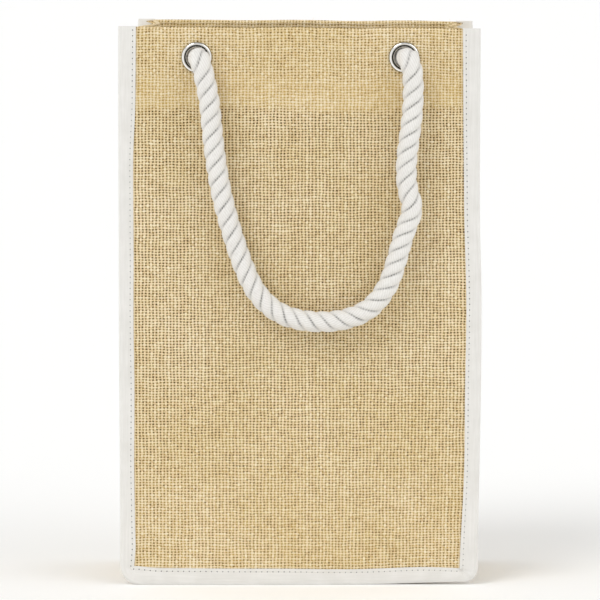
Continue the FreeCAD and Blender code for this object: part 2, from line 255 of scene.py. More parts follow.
def smooth_line(route, spacing):
    """Points at an even spacing along the NURBS curve of a route."""
    curve = bpy.data.curves.new("route", "CURVE")
    curve.dimensions = "3D"
    curve.resolution_u = 16
    spline = curve.splines.new("NURBS")
    spline.points.add(len(route) - 1)
    for point, place in zip(spline.points, route):
        point.co = (*place, 1)
    spline.order_u = 3
    spline.use_endpoint_u = True
    holder = bpy.data.objects.new("route", curve)
    mesh = bpy.data.meshes.new_from_object(holder)
    line = np.array([vertex.co for vertex in mesh.vertices])
    bpy.data.objects.remove(holder)
    bpy.data.curves.remove(curve)
    bpy.data.meshes.remove(mesh)
    steps = np.linalg.norm(np.diff(line, axis=0), axis=1)
    along = np.concatenate([[0], np.cumsum(steps)])
    wanted = np.linspace(0, along[-1], max(8, round(along[-1] / spacing)) + 1)
    return np.stack([np.interp(wanted, along, line[:, axis]) for axis in range(3)], axis=1)


# ---------------------------------------------------------------- meshes


def ease(share):
    share = np.clip(share, 0, 1)
    return share * share * (3 - 2 * share)


def mesh_object(name, points, faces, material, flat=None):
    """A smooth-shaded mesh at the origin, with flat, one UV for each corner, in metres."""
    mesh = bpy.data.meshes.new(name)
    mesh.from_pydata([tuple(point) for point in points], [], faces)
    if flat is not None:
        layer = mesh.uv_layers.new(name="flat")
        layer.data.foreach_set("uv", np.asarray(flat, float).ravel())
    mesh.materials.append(material)
    mesh.shade_smooth()
    return add_object(name, mesh)


def mark_points(thing, name, values):
    """Give each point of a mesh a number, for a material or a node tree to read by name."""
    attribute = thing.data.attributes.new(name, "FLOAT", "POINT")
    attribute.data.foreach_set("value", np.ravel(values).astype(np.float32))


def point_places(thing):
    return np.array([vertex.co for vertex in thing.data.vertices])


def grid_object(name, points, flat, material, marks=None, skip=None):
    """A sheet from rows x columns of points. flat is where each lay in the cut cloth, in metres.

    marks are values that a material reads, by name, one for each point; skip says which quads
    are cut away.
    """
    rows, columns = points.shape[:2]
    index = np.arange(rows * columns).reshape(rows, columns)
    quads = np.stack([index[:-1, :-1], index[:-1, 1:], index[1:, 1:], index[1:, :-1]], axis=-1)
    quads = quads.reshape(-1, 4)
    if skip is not None:
        quads = quads[~skip(points.reshape(-1, 3)[quads].mean(axis=1))]
    used, quads = np.unique(quads, return_inverse=True)
    quads = quads.reshape(-1, 4)
    corners = flat.reshape(-1, 2)[used][quads.ravel()]
    thing = mesh_object(name, points.reshape(-1, 3)[used], quads.tolist(), material, corners)
    for mark, values in (marks or {}).items():
        mark_points(thing, mark, values.ravel()[used])
    return thing


def finished(thing, *modifiers):
    """Apply modifiers, given as (kind, settings), and leave a plain mesh."""
    for kind, settings in modifiers:
        modifier = thing.modifiers.new(kind.lower(), kind)
        for name, setting in settings.items():
            setattr(modifier, name, setting)
    graph = bpy.context.evaluated_depsgraph_get()
    mesh = bpy.data.meshes.new_from_object(thing.evaluated_get(graph))
    thing.modifiers.clear()
    old, thing.data = thing.data, mesh
    bpy.data.meshes.remove(old)
    mesh.name = thing.name
    return thing


def thickened(thing, thickness, crease=40):
    """Give a sheet its thickness, half to each side, and keep its cut edges crisp."""
    finished(thing, ("SOLIDIFY", {"thickness": thickness, "offset": 0, "use_rim": True}))
    thing.data.shade_smooth()
    thing.data.set_sharp_from_angle(angle=math.radians(crease))
    return thing


def tube_object(name, line, radii, material):
    """A closed tube along a line, with a radius for each ring and angle; its ends are capped."""
    count, around = radii.shape
    tangents = np.gradient(line, axis=0)
    tangents /= np.linalg.norm(tangents, axis=1)[:, None]
    off_line = (0.3, 0.2, 0.9)          # any direction that the line doesn't start in
    side = np.cross(tangents[0], off_line)
    sides = []
    for tangent in tangents:
        side = side - tangent * side.dot(tangent)
        side /= np.linalg.norm(side)
        sides.append(side)
    sides = np.array(sides)
    others = np.cross(tangents, sides)
    angles = np.linspace(0, 2 * math.pi, around, endpoint=False)
    across = np.cos(angles)[None, :, None] * sides[:, None]
    across = across + np.sin(angles)[None, :, None] * others[:, None]
    points = line[:, None] + across * radii[:, :, None]
    index = np.arange(count * around).reshape(count, around)
    after = np.roll(index, -1, axis=1)
    quads = np.stack([index[:-1], after[:-1], after[1:], index[1:]], axis=-1).reshape(-1, 4)
    along = np.concatenate([[0], np.cumsum(np.linalg.norm(np.diff(line, axis=0), axis=1))])
    turn = np.arange(around) / around
    left, low = np.meshgrid(turn, along[:-1])
    right, high = np.meshgrid(turn + 1 / around, along[1:])
    flat = np.stack([left, low, right, low, right, high, left, high], axis=-1).reshape(-1, 2)
    flat = flat.tolist()
    faces = quads.tolist()
    for ring, centre, flipped in ((index[0], index.size, True),
                                  (index[-1], index.size + 1, False)):
        for step, (first, second) in enumerate(zip(ring, np.roll(ring, -1))):
            faces.append((second, first, centre) if flipped else (first, second, centre))
            flat += [(step / around, 0), ((step + 1) / around, 0), (step / around, 2 * MM)]
    places = np.vstack([points.reshape(-1, 3), line[:1], line[-1:]])
    return mesh_object(name, places, faces, material, flat)


def on_bag(piece, node):
    """A piece that stands for a CAD node and stays on the bag."""
    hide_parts(node)
    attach(piece, "bag")


# ---------------------------------------------------------------- materials


def jute_cloth():
    """Woven jute, plain weave: coarse uneven threads with open gaps, matt and a little hairy."""
    material, tree = new_material("jute_plain_weave")
    wander_reach = 2.1 * MM
    # Shares of what makes a thread paler or browner.
    slub_shade, thread_shade, crown_shade, fibre_shade = 0.16, 0.06, 0.07, 0.3
    # Heights are shares of a thread's half thickness: 1 is the top of a thread on its own.
    weave_lift = 0.42                   # more for a thread that passes over, less under
    gap_drop = 1.6                      # how far a gap's floor lies below a thread's edge
    flank_low, flank_high = 0.3, 1.2
    gap_low, gap_high = 0.1, 0.85
    gap_open, gap_varies = 1.32, 0.7    # how dark a gap's painted shade is, and how much less some are
    uv = add(tree, "ShaderNodeUVMap", uv_map="flat")[0]
    place = add(tree, "ShaderNodeSeparateXYZ", uv)
    # Threads wander to each side, over a centimetre or two along them.
    wander = add(tree, "ShaderNodeTexNoise", {"Vector": uv, "Scale": 70.0, "Detail": 4.0,
                                             "Roughness": 0.65})
    shift = add(tree, "ShaderNodeSeparateColor", wander["Color"])
    backing_and_painted_light = add(tree, "ShaderNodeAttribute", attribute_name="backing_and_painted_light")["Fac"]

    threads = {}
    for way, across, pitch, drift in (
        ("warp", place["X"], WARP_PITCH, shift["Red"]),
        ("weft", place["Y"], WEFT_PITCH, shift["Green"]),
    ):
        drifted = add(tree, "ShaderNodeMath", drift, wander_reach, across,
                      operation="MULTIPLY_ADD")[0]
        count = add(tree, "ShaderNodeMath", drifted, pitch, operation="DIVIDE")[0]
        number = add(tree, "ShaderNodeMath", count, operation="FLOOR")[0]
        share = add(tree, "ShaderNodeMath", count, operation="FRACT")[0]
        centred = add(tree, "ShaderNodeMath", share, 0.5, operation="SUBTRACT")[0]
        nearest_gap = add(tree, "ShaderNodeMath", count, operation="ROUND")[0]
        threads[way] = {"number": number, "centred": centred, "gap": nearest_gap}

    # Which set of threads lies on top at a crossing: +1 for the warp, -1 for the weft.
    both = add(tree, "ShaderNodeMath", threads["warp"]["number"], threads["weft"]["number"])[0]
    odd = add(tree, "ShaderNodeMath", both, 2.0, operation="FLOORED_MODULO")[0]
    over = add(tree, "ShaderNodeMath", odd, 2.0, -1.0, operation="MULTIPLY_ADD")[0]

    # A thread's width is between thin and thick shares of the pitch, by turns of about 8 mm.
    for way, other, along, rise, thin, thick, base in (
        ("warp", "weft", place["Y"], 1.0, 0.55, 0.80, 0.235),
        ("weft", "warp", place["X"], -1.0, 0.53, 0.79, 0.225),
    ):
        number = threads[way]["number"]
        own_draw = 3.7 * rise           # so that the two ways don't match
        far = add(tree, "ShaderNodeMath", along, 150.0, operation="MULTIPLY")[0]
        spot = add(tree, "ShaderNodeCombineXYZ", number, far, own_draw)[0]
        slub = add(tree, "ShaderNodeTexNoise", {"Vector": spot, "Scale": 0.83, "Detail": 2.0})
        thread = add(tree, "ShaderNodeTexWhiteNoise", spot, number, noise_dimensions="1D")[0]
        width = add(tree, "ShaderNodeMapRange", slub["Fac"], 0.3, 0.7, thin, thick)[0]
        ratio = add(tree, "ShaderNodeMath", threads[way]["centred"], width, operation="DIVIDE")[0]
        doubled = add(tree, "ShaderNodeMath", ratio, 2.0, operation="MULTIPLY")[0]
        square = add(tree, "ShaderNodeMath", doubled, 2.0, operation="POWER")[0]
        inside = add(tree, "ShaderNodeMath", 1.0, square, operation="SUBTRACT", use_clamp=True)[0]
        round_top = add(tree, "ShaderNodeMath", inside, operation="SQRT")[0]
        wave = add(tree, "ShaderNodeMath", threads[other]["centred"], math.pi,
                   operation="MULTIPLY")[0]
        crest = add(tree, "ShaderNodeMath", wave, operation="COSINE")[0]
        lift = add(tree, "ShaderNodeMath", crest, over, operation="MULTIPLY")[0]
        lifted = add(tree, "ShaderNodeMath", lift, weave_lift * rise, round_top,
                     operation="MULTIPLY_ADD")[0]
        there = add(tree, "ShaderNodeMath", inside, 0.02, operation="GREATER_THAN")[0]
        sunk = add(tree, "ShaderNodeMath", there, gap_drop, -gap_drop,
                   operation="MULTIPLY_ADD")[0]
        threads[way]["top"] = add(tree, "ShaderNodeMath", lifted, sunk)[0]
        dyed = add(tree, "ShaderNodeMath", thread, thread_shade, base,
                   operation="MULTIPLY_ADD")[0]
        threads[way]["shade"] = add(tree, "ShaderNodeMath", slub["Fac"], slub_shade, dyed,
                                    operation="MULTIPLY_ADD")[0]
    top = add(tree, "ShaderNodeMath", threads["warp"]["top"], threads["weft"]["top"],
              operation="MAXIMUM")[0]
    warp_on_top = add(tree, "ShaderNodeMath", threads["warp"]["top"], threads["weft"]["top"],
                      operation="GREATER_THAN")[0]
    shade = add(tree, "ShaderNodeMix", {"Factor": warp_on_top, "A": threads["weft"]["shade"],
                                        "B": threads["warp"]["shade"]})[0]

    # Where a thread passes over another, its crown has a shade of its own.
    crossing = add(tree, "ShaderNodeCombineXYZ", threads["warp"]["number"],
                   threads["weft"]["number"])[0]
    crown = add(tree, "ShaderNodeTexWhiteNoise", crossing, noise_dimensions="2D")["Value"]
    shade = add(tree, "ShaderNodeMath", crown, crown_shade, shade,
                operation="MULTIPLY_ADD")[0]

    # The bast fibres in a thread are under 0.1 mm thick, and are drawn 0.5 mm apart so that they
    # show. With the yarn's own shade they pick its colour.
    fibre_spot = add(tree, "ShaderNodeVectorMath", uv, (900.0, 900.0, 1.0), operation="MULTIPLY")
    fibre = add(tree, "ShaderNodeTexNoise", {"Vector": fibre_spot[0], "Scale": 2.4, "Detail": 3.0})
    mottled = add(tree, "ShaderNodeMath", fibre["Fac"], fibre_shade, shade,
                  operation="MULTIPLY_ADD")[0]
    tint = add(tree, "ShaderNodeValToRGB", mottled)
    ramp = tint["Color"].node.color_ramp
    ramp.elements[0].position = 0.34
    ramp.elements[0].color = linear("#d3b587")
    ramp.elements[1].position = 0.70
    ramp.elements[1].color = linear("#fef7e7")
    ramp.elements.new(0.52).color = linear("#eedbb7")

    # Broad patches, some 60 mm across, where the yarn is paler or browner.
    patch = add(tree, "ShaderNodeTexNoise", {"Vector": uv, "Scale": 16.0, "Detail": 3.0})
    patch_share = add(tree, "ShaderNodeMapRange", patch["Fac"], 0.32, 0.68)[0]
    patch_tint = add(tree, "ShaderNodeMix", {"Factor": patch_share, 6: linear("#f6f3e7"),
                                             7: linear("#ffffff")}, data_type="RGBA")[2]
    toned = add(tree, "ShaderNodeVectorMath", tint["Color"], patch_tint, operation="MULTIPLY")[0]

    # Painted shade: the flanks of threads are darker and browner, and each gap is painted dark
    # brown for the shade inside the bag seen through it, some darker than others. Where another
    # layer backs the cloth, and low down where light from the floor is painted in, gaps are paler.
    flank = add(tree, "ShaderNodeMapRange", top, flank_low, flank_high, 1.0, 0.0)[0]
    painted_flank_shade = add(tree, "ShaderNodeMix", {"Factor": flank, 6: linear("#ffffff"),
                                             7: linear("#d9c68a")}, data_type="RGBA")[2]
    round_thread = add(tree, "ShaderNodeVectorMath", toned, painted_flank_shade, operation="MULTIPLY")[0]
    gap_spot = add(tree, "ShaderNodeCombineXYZ", threads["warp"]["gap"], threads["weft"]["gap"])[0]
    chance = add(tree, "ShaderNodeTexWhiteNoise", gap_spot, noise_dimensions="2D")["Value"]
    filled = add(tree, "ShaderNodeMath", chance, gap_varies, backing_and_painted_light,
                 operation="MULTIPLY_ADD")[0]
    open_gap = add(tree, "ShaderNodeMath", gap_open, filled, operation="SUBTRACT",
                   use_clamp=True)[0]
    depth = add(tree, "ShaderNodeMapRange", top, gap_low, gap_high, 1.0, 0.0,
                interpolation_type="SMOOTHSTEP")[0]
    hidden = add(tree, "ShaderNodeMath", depth, open_gap, operation="MULTIPLY")[0]
    # The dark brown is painted shade: the bag's shaded inside, seen through a gap.
    colour = add(tree, "ShaderNodeMix", {"Factor": hidden, 6: round_thread, 7: linear("#412702")},
                 data_type="RGBA")[2]
    rough_top = add(tree, "ShaderNodeMath", fibre["Fac"], 0.35, top, operation="MULTIPLY_ADD")[0]
    bump = add(tree, "ShaderNodeBump", {"Height": rough_top, "Strength": 0.8, "Distance": 0.0004})
    cloth = add(tree, "ShaderNodeBsdfPrincipled",
                {"Base Color": colour, "Roughness": 0.95, "Specular IOR Level": 0.08,
                 "Normal": bump["Normal"], "Sheen Weight": 0.02, "Sheen Roughness": 0.5})
    add(tree, "ShaderNodeOutputMaterial", cloth["BSDF"])
    return material


def jute_fibre():
    """Single bast fibres that stand off the cloth: stiff, and glossier than the yarn."""
    material, tree = new_material("jute_bast_fibre")
    place = add(tree, "ShaderNodeTexCoord")["Object"]
    tone = add(tree, "ShaderNodeTexNoise", {"Vector": place, "Scale": 300.0})
    colour = add(tree, "ShaderNodeMix", {"Factor": tone["Fac"], 6: linear("#c9a768"),
                                         7: linear("#fbf0d2")}, data_type="RGBA")[2]
    fibre = add(tree, "ShaderNodeBsdfPrincipled",
                {"Base Color": colour, "Roughness": 0.55, "Specular IOR Level": 0.3})
    add(tree, "ShaderNodeOutputMaterial", fibre["BSDF"])
    return material


def cotton_tape():
    """Bleached cotton tape, close plain weave: smooth to the eye, with faint ribs along it."""
    material, tree = new_material("cotton_tape_woven")
    uv = add(tree, "ShaderNodeUVMap", uv_map="flat")[0]
    # Its threads are 0.35 mm apart, drawn twice as coarse so that they show at all.
    ribs = add(tree, "ShaderNodeVectorMath", uv, (1450.0, 1250.0, 1.0), operation="MULTIPLY")[0]
    weave = add(tree, "ShaderNodeTexChecker", ribs, linear("#ffffff"), linear("#000000"), 1.0)
    soft = add(tree, "ShaderNodeTexNoise", {"Vector": uv, "Scale": 90.0, "Detail": 3.0})
    drawn = add(tree, "ShaderNodeVectorMath", uv, (900.0, 40.0, 1.0), operation="MULTIPLY")[0]
    slub = add(tree, "ShaderNodeTexNoise", {"Vector": drawn, "Scale": 1.0, "Detail": 2.0})
    mixed = add(tree, "ShaderNodeMath", soft["Fac"], slub["Fac"])[0]
    tone = add(tree, "ShaderNodeMapRange", mixed, 0.7, 1.3, 0.0, 1.0)[0]
    colour = add(tree, "ShaderNodeMix", {"Factor": tone, 6: linear("#dcdad5"),
                                         7: linear("#e6e4e0")}, data_type="RGBA")[2]
    height = add(tree, "ShaderNodeMath", weave["Fac"], 0.25, slub["Fac"],
                 operation="MULTIPLY_ADD")[0]
    bump = add(tree, "ShaderNodeBump", {"Height": height, "Strength": 0.3, "Distance": 0.0002})
    cloth = add(tree, "ShaderNodeBsdfPrincipled",
                {"Base Color": colour, "Roughness": 0.85, "Specular IOR Level": 0.2,
                 "Normal": bump["Normal"], "Sheen Weight": 0.05, "Sheen Roughness": 0.5})
    add(tree, "ShaderNodeOutputMaterial", cloth["BSDF"])
    return material


def sewing_thread():
    """White spun polyester sewing thread, twisted, and a little greyer than the tape."""
    material, tree = new_material("polyester_thread_spun")
    place = add(tree, "ShaderNodeTexCoord")["Object"]
    twist = add(tree, "ShaderNodeTexNoise", {"Vector": place, "Scale": 2500.0})
    colour = add(tree, "ShaderNodeMix", {"Factor": twist["Fac"], 6: linear("#cfccc4"),
                                         7: linear("#e2dfd8")}, data_type="RGBA")[2]
    yarn = add(tree, "ShaderNodeBsdfPrincipled", {"Base Color": colour, "Roughness": 0.6})
    add(tree, "ShaderNodeOutputMaterial", yarn["BSDF"])
    return material


def needle_holes():
    """The painted shade inside a needle's hole, where the thread dives into the tape."""
    material, tree = new_material("polyester_thread_in_shade")
    place = add(tree, "ShaderNodeTexCoord")["Object"]
    # Some holes are paler than others.
    paler = add(tree, "ShaderNodeTexNoise", {"Vector": place, "Scale": 14.0, "Detail": 6.0})
    share = add(tree, "ShaderNodeMapRange", paler["Fac"], 0.36, 0.64)[0]
    colour = add(tree, "ShaderNodeMix", {"Factor": share, 6: linear("#474645"),
                                         7: linear("#a09e9a")}, data_type="RGBA")[2]
    yarn = add(tree, "ShaderNodeBsdfPrincipled", {"Base Color": colour, "Roughness": 0.9})
    add(tree, "ShaderNodeOutputMaterial", yarn["BSDF"])
    return material


def cotton_rope():
    """Three-strand cotton rope: soft bleached yarns laid side by side in each strand."""
    material, tree = new_material("cotton_rope_laid")
    uv = add(tree, "ShaderNodeUVMap", uv_map="flat")[0]
    place = add(tree, "ShaderNodeSeparateXYZ", uv)
    # Yarns are 1.5 mm apart, so that 26 go round the rope, and each goes round it in 100 mm.
    yarns_round = 26.0
    slant = add(tree, "ShaderNodeMath", place["Y"], yarns_round / (100 * MM),
                operation="MULTIPLY")[0]
    yarns = add(tree, "ShaderNodeMath", place["X"], yarns_round, slant,
                operation="MULTIPLY_ADD")[0]
    wobble = add(tree, "ShaderNodeTexNoise", {"Vector": uv, "Scale": 160.0, "Detail": 2.0})
    bent = add(tree, "ShaderNodeMath", wobble["Fac"], 1.6, yarns, operation="MULTIPLY_ADD")[0]
    turned = add(tree, "ShaderNodeMath", bent, 2 * math.pi, operation="MULTIPLY")[0]
    ridge = add(tree, "ShaderNodeMath", turned, operation="SINE")[0]
    place = add(tree, "ShaderNodeTexCoord")["Object"]
    fluff = add(tree, "ShaderNodeTexNoise", {"Vector": place, "Scale": 1400.0, "Detail": 3.0})
    painted_dark = add(tree, "ShaderNodeAttribute", attribute_name="painted_dark")["Fac"]
    # Painted shade: the yarns' colour darkens in the hollows between their ridges.
    raised = add(tree, "ShaderNodeMapRange", ridge, -1.0, 1.0, 0.35, 1.0)[0]
    colour = add(tree, "ShaderNodeMix", {"Factor": raised, 6: linear("#d6d3cd"),
                                         7: linear("#eeece8")}, data_type="RGBA")[2]
    # Painted shade: the rope's grooves are mixed towards near black.
    shaded = add(tree, "ShaderNodeMix", {"Factor": painted_dark, 6: colour, 7: linear("#23211f")},
                 data_type="RGBA")[2]
    height = add(tree, "ShaderNodeMath", fluff["Fac"], 1.2, ridge, operation="MULTIPLY_ADD")[0]
    bump = add(tree, "ShaderNodeBump", {"Height": height, "Strength": 0.3, "Distance": 0.0002})
    yarn = add(tree, "ShaderNodeBsdfPrincipled",
               {"Base Color": shaded, "Roughness": 0.9, "Specular IOR Level": 0.15,
                "Normal": bump["Normal"], "Sheen Weight": 0.1, "Sheen Roughness": 0.4})
    add(tree, "ShaderNodeOutputMaterial", yarn["BSDF"])
    return material


def nickel_plate():
    """Nickel-plated steel, polished: bright, with a slight haze.

    Its dark bands are painted: painted dark reflection on the rim's flanks, and painted shade in
    its grooves and bore.
    """
    material, tree = new_material("nickel_plated_steel_polished")
    place = add(tree, "ShaderNodeTexCoord")["Object"]
    haze = add(tree, "ShaderNodeTexNoise", {"Vector": place, "Scale": 700.0, "Detail": 3.0})
    rough = add(tree, "ShaderNodeMapRange", haze["Fac"], 0.3, 0.7, 0.06, 0.16)[0]
    painted_dark = add(tree, "ShaderNodeAttribute", attribute_name="painted_dark")["Fac"]
    colour = add(tree, "ShaderNodeMix", {"Factor": painted_dark, 6: linear("#f1f0ed"),
                                         7: linear("#3a3937")}, data_type="RGBA")[2]
    bump = add(tree, "ShaderNodeBump", {"Height": haze["Fac"], "Strength": 0.08,
                                        "Distance": 0.0001})
    metal = add(tree, "ShaderNodeBsdfPrincipled",
                {"Base Color": colour, "Metallic": 1.0, "Roughness": rough,
                 "Normal": bump["Normal"]})
    add(tree, "ShaderNodeOutputMaterial", metal["BSDF"])
    return material


JUTE = jute_cloth()
JUTE_FIBRE = jute_fibre()
TAPE_WHITE = cotton_tape()
THREAD_WHITE = sewing_thread()
THREAD_SHADE = needle_holes()
ROPE_WHITE = cotton_rope()
NICKEL = nickel_plate()

# ---------------------------------------------------------------- loose fibres


def fibre_tree():
    """Geometry nodes that scatter loose fibres over a surface, each a bent three-sided hair."""
    tree = bpy.data.node_groups.new("loose_fibres", "GeometryNodeTree")
    tree.interface.new_socket("Geometry", in_out="OUTPUT", socket_type="NodeSocketGeometry")
    tree.interface.new_socket("Geometry", in_out="INPUT", socket_type="NodeSocketGeometry")
    for name, kind in (("Density", "Float"), ("Length", "Float"), ("Thickness", "Float"),
                       ("Lean", "Float"), ("Seed", "Int"), ("Material", "Material")):
        tree.interface.new_socket(name, in_out="INPUT", socket_type=f"NodeSocket{kind}")
    given = add(tree, "NodeGroupInput")
    loose = add(tree, "GeometryNodeInputNamedAttribute", "loose")[0]
    density = add(tree, "ShaderNodeMath", given["Density"], loose, operation="MULTIPLY")[0]
    roots = add(tree, "GeometryNodeDistributePointsOnFaces",
                {"Mesh": given["Geometry"], "Density": density, "Seed": given["Seed"]})
    # One fibre of length 1, rooted under the surface. The shortest is 0.35 of the longest.
    bent = add(tree, "GeometryNodeCurveQuadraticBezier", 4, (0, 0, -0.1), (0, 0.1, 0.5),
               (0.2, 0.7, 0.8))[0]
    round_section = add(tree, "GeometryNodeCurvePrimitiveCircle",
                        {"Resolution": 3, "Radius": given["Thickness"]})[0]
    share = add(tree, "FunctionNodeRandomValue", {2: 0.35, 3: 1.0, "Seed": given["Seed"]})[1]
    size = add(tree, "ShaderNodeMath", share, given["Length"], operation="MULTIPLY")[0]
    tilt = add(tree, "ShaderNodeCombineXYZ", given["Lean"], given["Lean"], 2 * math.pi)[0]
    any_turn = add(tree, "FunctionNodeRandomValue", {0: (0, 0, 0), 1: tilt, "Seed": given["Seed"]},
                   data_type="FLOAT_VECTOR")[0]
    standing = add(tree, "FunctionNodeAlignRotationToVector", {"Vector": roots["Normal"]},
                   axis="Z")[0]
    turned = add(tree, "FunctionNodeRotateRotation", standing, any_turn,
                 rotation_space="LOCAL")[0]
    hairs = add(tree, "GeometryNodeInstanceOnPoints",
                {"Points": roots["Points"], "Instance": bent, "Rotation": turned,
                 "Scale": size})[0]
    lines = add(tree, "GeometryNodeRealizeInstances", hairs)[0]
    solid = add(tree, "GeometryNodeCurveToMesh",
                {"Curve": lines, "Profile Curve": round_section, "Fill Caps": True})[0]
    coloured = add(tree, "GeometryNodeSetMaterial",
                   {"Geometry": solid, "Material": given["Material"]})[0]
    joined = add(tree, "GeometryNodeJoinGeometry", given["Geometry"])
    tree.links.new(coloured, joined[0].node.inputs[0])
    add(tree, "NodeGroupOutput", joined[0])
    return tree


FIBRES = fibre_tree()


def set_input(modifier, name, value):
    """Set a named input of a Geometry Nodes modifier by its socket's identifier."""
    for socket in modifier.node_group.interface.items_tree:
        if socket.name == name and socket.in_out == "INPUT":
            modifier[socket.identifier] = value


def roughen(thing, material, density, length, thickness, lean, where=None):
    """Stand loose fibres on a finished piece: density is their number for each square metre.

    lean is how far they may tip, in radians. where says which of the piece's points, given as an
    array, may have some.
    """
    points = point_places(thing)
    mark_points(thing, "loose", np.ones(len(points)) if where is None else where(points))
    modifier = thing.modifiers.new("fibres", "NODES")
    modifier.node_group = FIBRES
    for name, value in (("Density", density), ("Length", length), ("Thickness", thickness / 2),
                        ("Lean", lean), ("Seed", 7), ("Material", material)):
        set_input(modifier, name, value)
    return finished(thing)


def roughen_jute(thing, where):
    """A few long fibres, leaning well over."""
    return roughen(thing, JUTE_FIBRE, density=4500, length=6 * MM, thickness=0.11 * MM, lean=1.3,
                   where=where)


def roughen_cotton(thing):
    """A short nap. A cotton fibre is 0.02 mm thick, and is drawn thicker so that it shows."""
    return roughen(thing, ROPE_WHITE, density=140000, length=1.5 * MM, thickness=0.07 * MM,
                   lean=0.9)


def clear_of_seams(points):
    """True where a panel's or the gusset's cloth shows, away from the tape and the eyelets."""
    x, y, z = np.abs(points).T
    eyelet = np.hypot(x - EYELET_X, z - EYELET_Z) < EYELET_RIM + 4 * MM
    on_panel = (x < HALF_WIDTH - SEAM_WIDTH - 5 * MM) & (z > SEAM_WIDTH + 6 * MM) & ~eyelet
    on_side = (x > HALF_WIDTH - 1.9 * SEAM_WIDTH) & (y < 0.8 * FACE)
    return np.where(y > 0.9 * FACE, on_panel, on_side)


# ---------------------------------------------------------------- how the soft bag settles


def waves(across, up, seed, tightness):
    """Gentle unevenness between about -1 and 1, the same each run.

    seed picks the pattern; tightness is its finest detail, in radians for each metre.
    """
    draw = random.Random(seed)
    total, count = 0, 7
    for _ in range(count):
        reach, turn = draw.uniform(0.4, 1) * tightness, draw.uniform(0, math.pi)
        phase = draw.uniform(0, 2 * math.pi)
        total = total + np.cos((across * math.cos(turn) + up * math.sin(turn)) * reach + phase)
    return total / (count / 2)


def settle(points):
    """Where a point of the sewn bag ends up once the bag stands, empty, on its own."""
    points = np.asarray(points, float)
    x, y, z = points[..., 0], points[..., 1], points[..., 2]
    back = np.clip((y + FACE) / (2 * FACE), 0, 1)
    up = np.clip(z / HEIGHT, 0, 1)
    near = np.hypot(np.abs(x) - EYELET_X, z - EYELET_Z)
    held_round_eyelet = 20 * MM
    free = 1 - np.exp(-(near / held_round_eyelet) ** 2)
    middle = np.cos(np.clip(x / HALF_WIDTH, -1, 1) * math.pi / 2)
    front, near_foot = 1 - back, 1 - ease(z / (50 * MM))

    # Shifts are in millimetres. Both panels are uneven, and belly a little towards the top.
    front_out = 1.3 * waves(x, z, 5, 45) + 0.35 * waves(x, z, 8, 140) + 0.8 * middle * up
    back_out = 1.5 * waves(x, z, 17, 42) + 0.35 * waves(x, z, 21, 130) + 2.0 * middle * up
    shift_y = (-front_out * front + back_out * back) * free
    # The mouth's edge falls to the right, and a corner at each foot stands off the floor.
    top_edge = -0.8 * ease((x + 0.1) / 0.2) + 0.45 * waves(x, x * 0, 31, 90)
    lifted_corner = 1.9 * ease((x - 0.03) / 0.08) * near_foot * front
    far_corner = 1.6 * ease((-x - 0.05) / 0.06) * near_foot * back
    shift_z = top_edge * ease((up - 0.7) / 0.3) * free + lifted_corner + far_corner
    # The back's top corners draw together, the front's right edge is drawn in low down and high
    # up, and the sides sway.
    drawn_in = -(6.2 * x / HALF_WIDTH - 3.2) * up ** 3 * back
    skewed = -2.0 * ease((x + 0.02) / 0.1) * (1 - ease(z / 0.16)) * front
    skewed -= 1.4 * ease((x - 0.07) / 0.04) * ease((up - 0.5) / 0.2) * front
    sway = 0.7 * waves(y, z, 41, 30) * up * (1 - ease((up - 0.75) / 0.25))
    shift_x = drawn_in + skewed + sway
    return points + np.stack([shift_x, shift_y, shift_z], axis=-1) * MM


# ---------------------------------------------------------------- cloth pieces


def corner_inset(z, edge_low, radius):
    """How much narrower a rounded-off outline is at height z than above its corner."""
    drop = np.clip(edge_low + radius - z, 0, radius)
    return radius - np.sqrt(radius ** 2 - drop ** 2)


def walk(points, step):
    """Points at an even step along a path of straight pieces, with the length at each."""
    points = np.array(points, float)
    lengths = np.linalg.norm(np.diff(points, axis=0), axis=1)
    along = np.concatenate([[0], np.cumsum(lengths)])
    wanted = np.linspace(0, along[-1], round(along[-1] / step) + 1)
    places = [np.interp(wanted, along, points[:, axis]) for axis in range(points.shape[1])]
    return np.stack(places, axis=1), wanted


def arc(centre, radius, start, end, count=9):
    angles = np.radians(np.linspace(start, end, count))
    return [(centre[0] + radius * math.cos(a), centre[1] + radius * math.sin(a)) for a in angles]


def hem_section(low):
    """A hemmed strip's middle surface as (depth in from the outer face, height), from its foot."""
    near = CLOTH / 2
    far = FACE - HEM_FACE - CLOTH / 2
    between = (near + far) / 2
    fold = (far - near) / 2
    turn = (far - between) / 2
    hem_low = HEIGHT - HEM_DEPTH + CLOTH / 2
    section = [(near, low)]
    section += arc((between, HEIGHT - CLOTH / 2 - fold), fold, 180, 0)
    section += arc((far - turn, hem_low + turn), turn, 0, -180)
    section += [(between, hem_low + HEM_TURN)]
    return section


def hem_and_painted_light(x, height):
    """How pale the gaps of a panel's cloth are: 0 where nothing backs it, near 1 at two layers.

    The band's lower edge is wavy and soft. Low down on the panel the gaps grow paler too: painted
    light from the floor.
    """
    low = HEIGHT - HEM_DEPTH - 1.5 * MM + 2 * MM * waves(x, height, 52, 60)
    rise = ease((height - low) / (6 * MM))
    turned = 1 - ease((height - low - HEM_TURN) / (4 * MM))
    one_layer, turned_layer, foot = 0.57, 0.4, 0.5
    # Painted light: low on the panel the gaps' painted shade is lifted by light from the floor.
    paler = foot * ease((0.17 - height) / 0.16)
    return rise * (one_layer + turned_layer * turned) + paler


def eyelet_holes(centres):
    """True for quads inside an eyelet's barrel."""
    away = np.hypot(np.abs(centres[:, 0]) - EYELET_X, centres[:, 2] - EYELET_Z)
    return away < BARREL_CLEARED


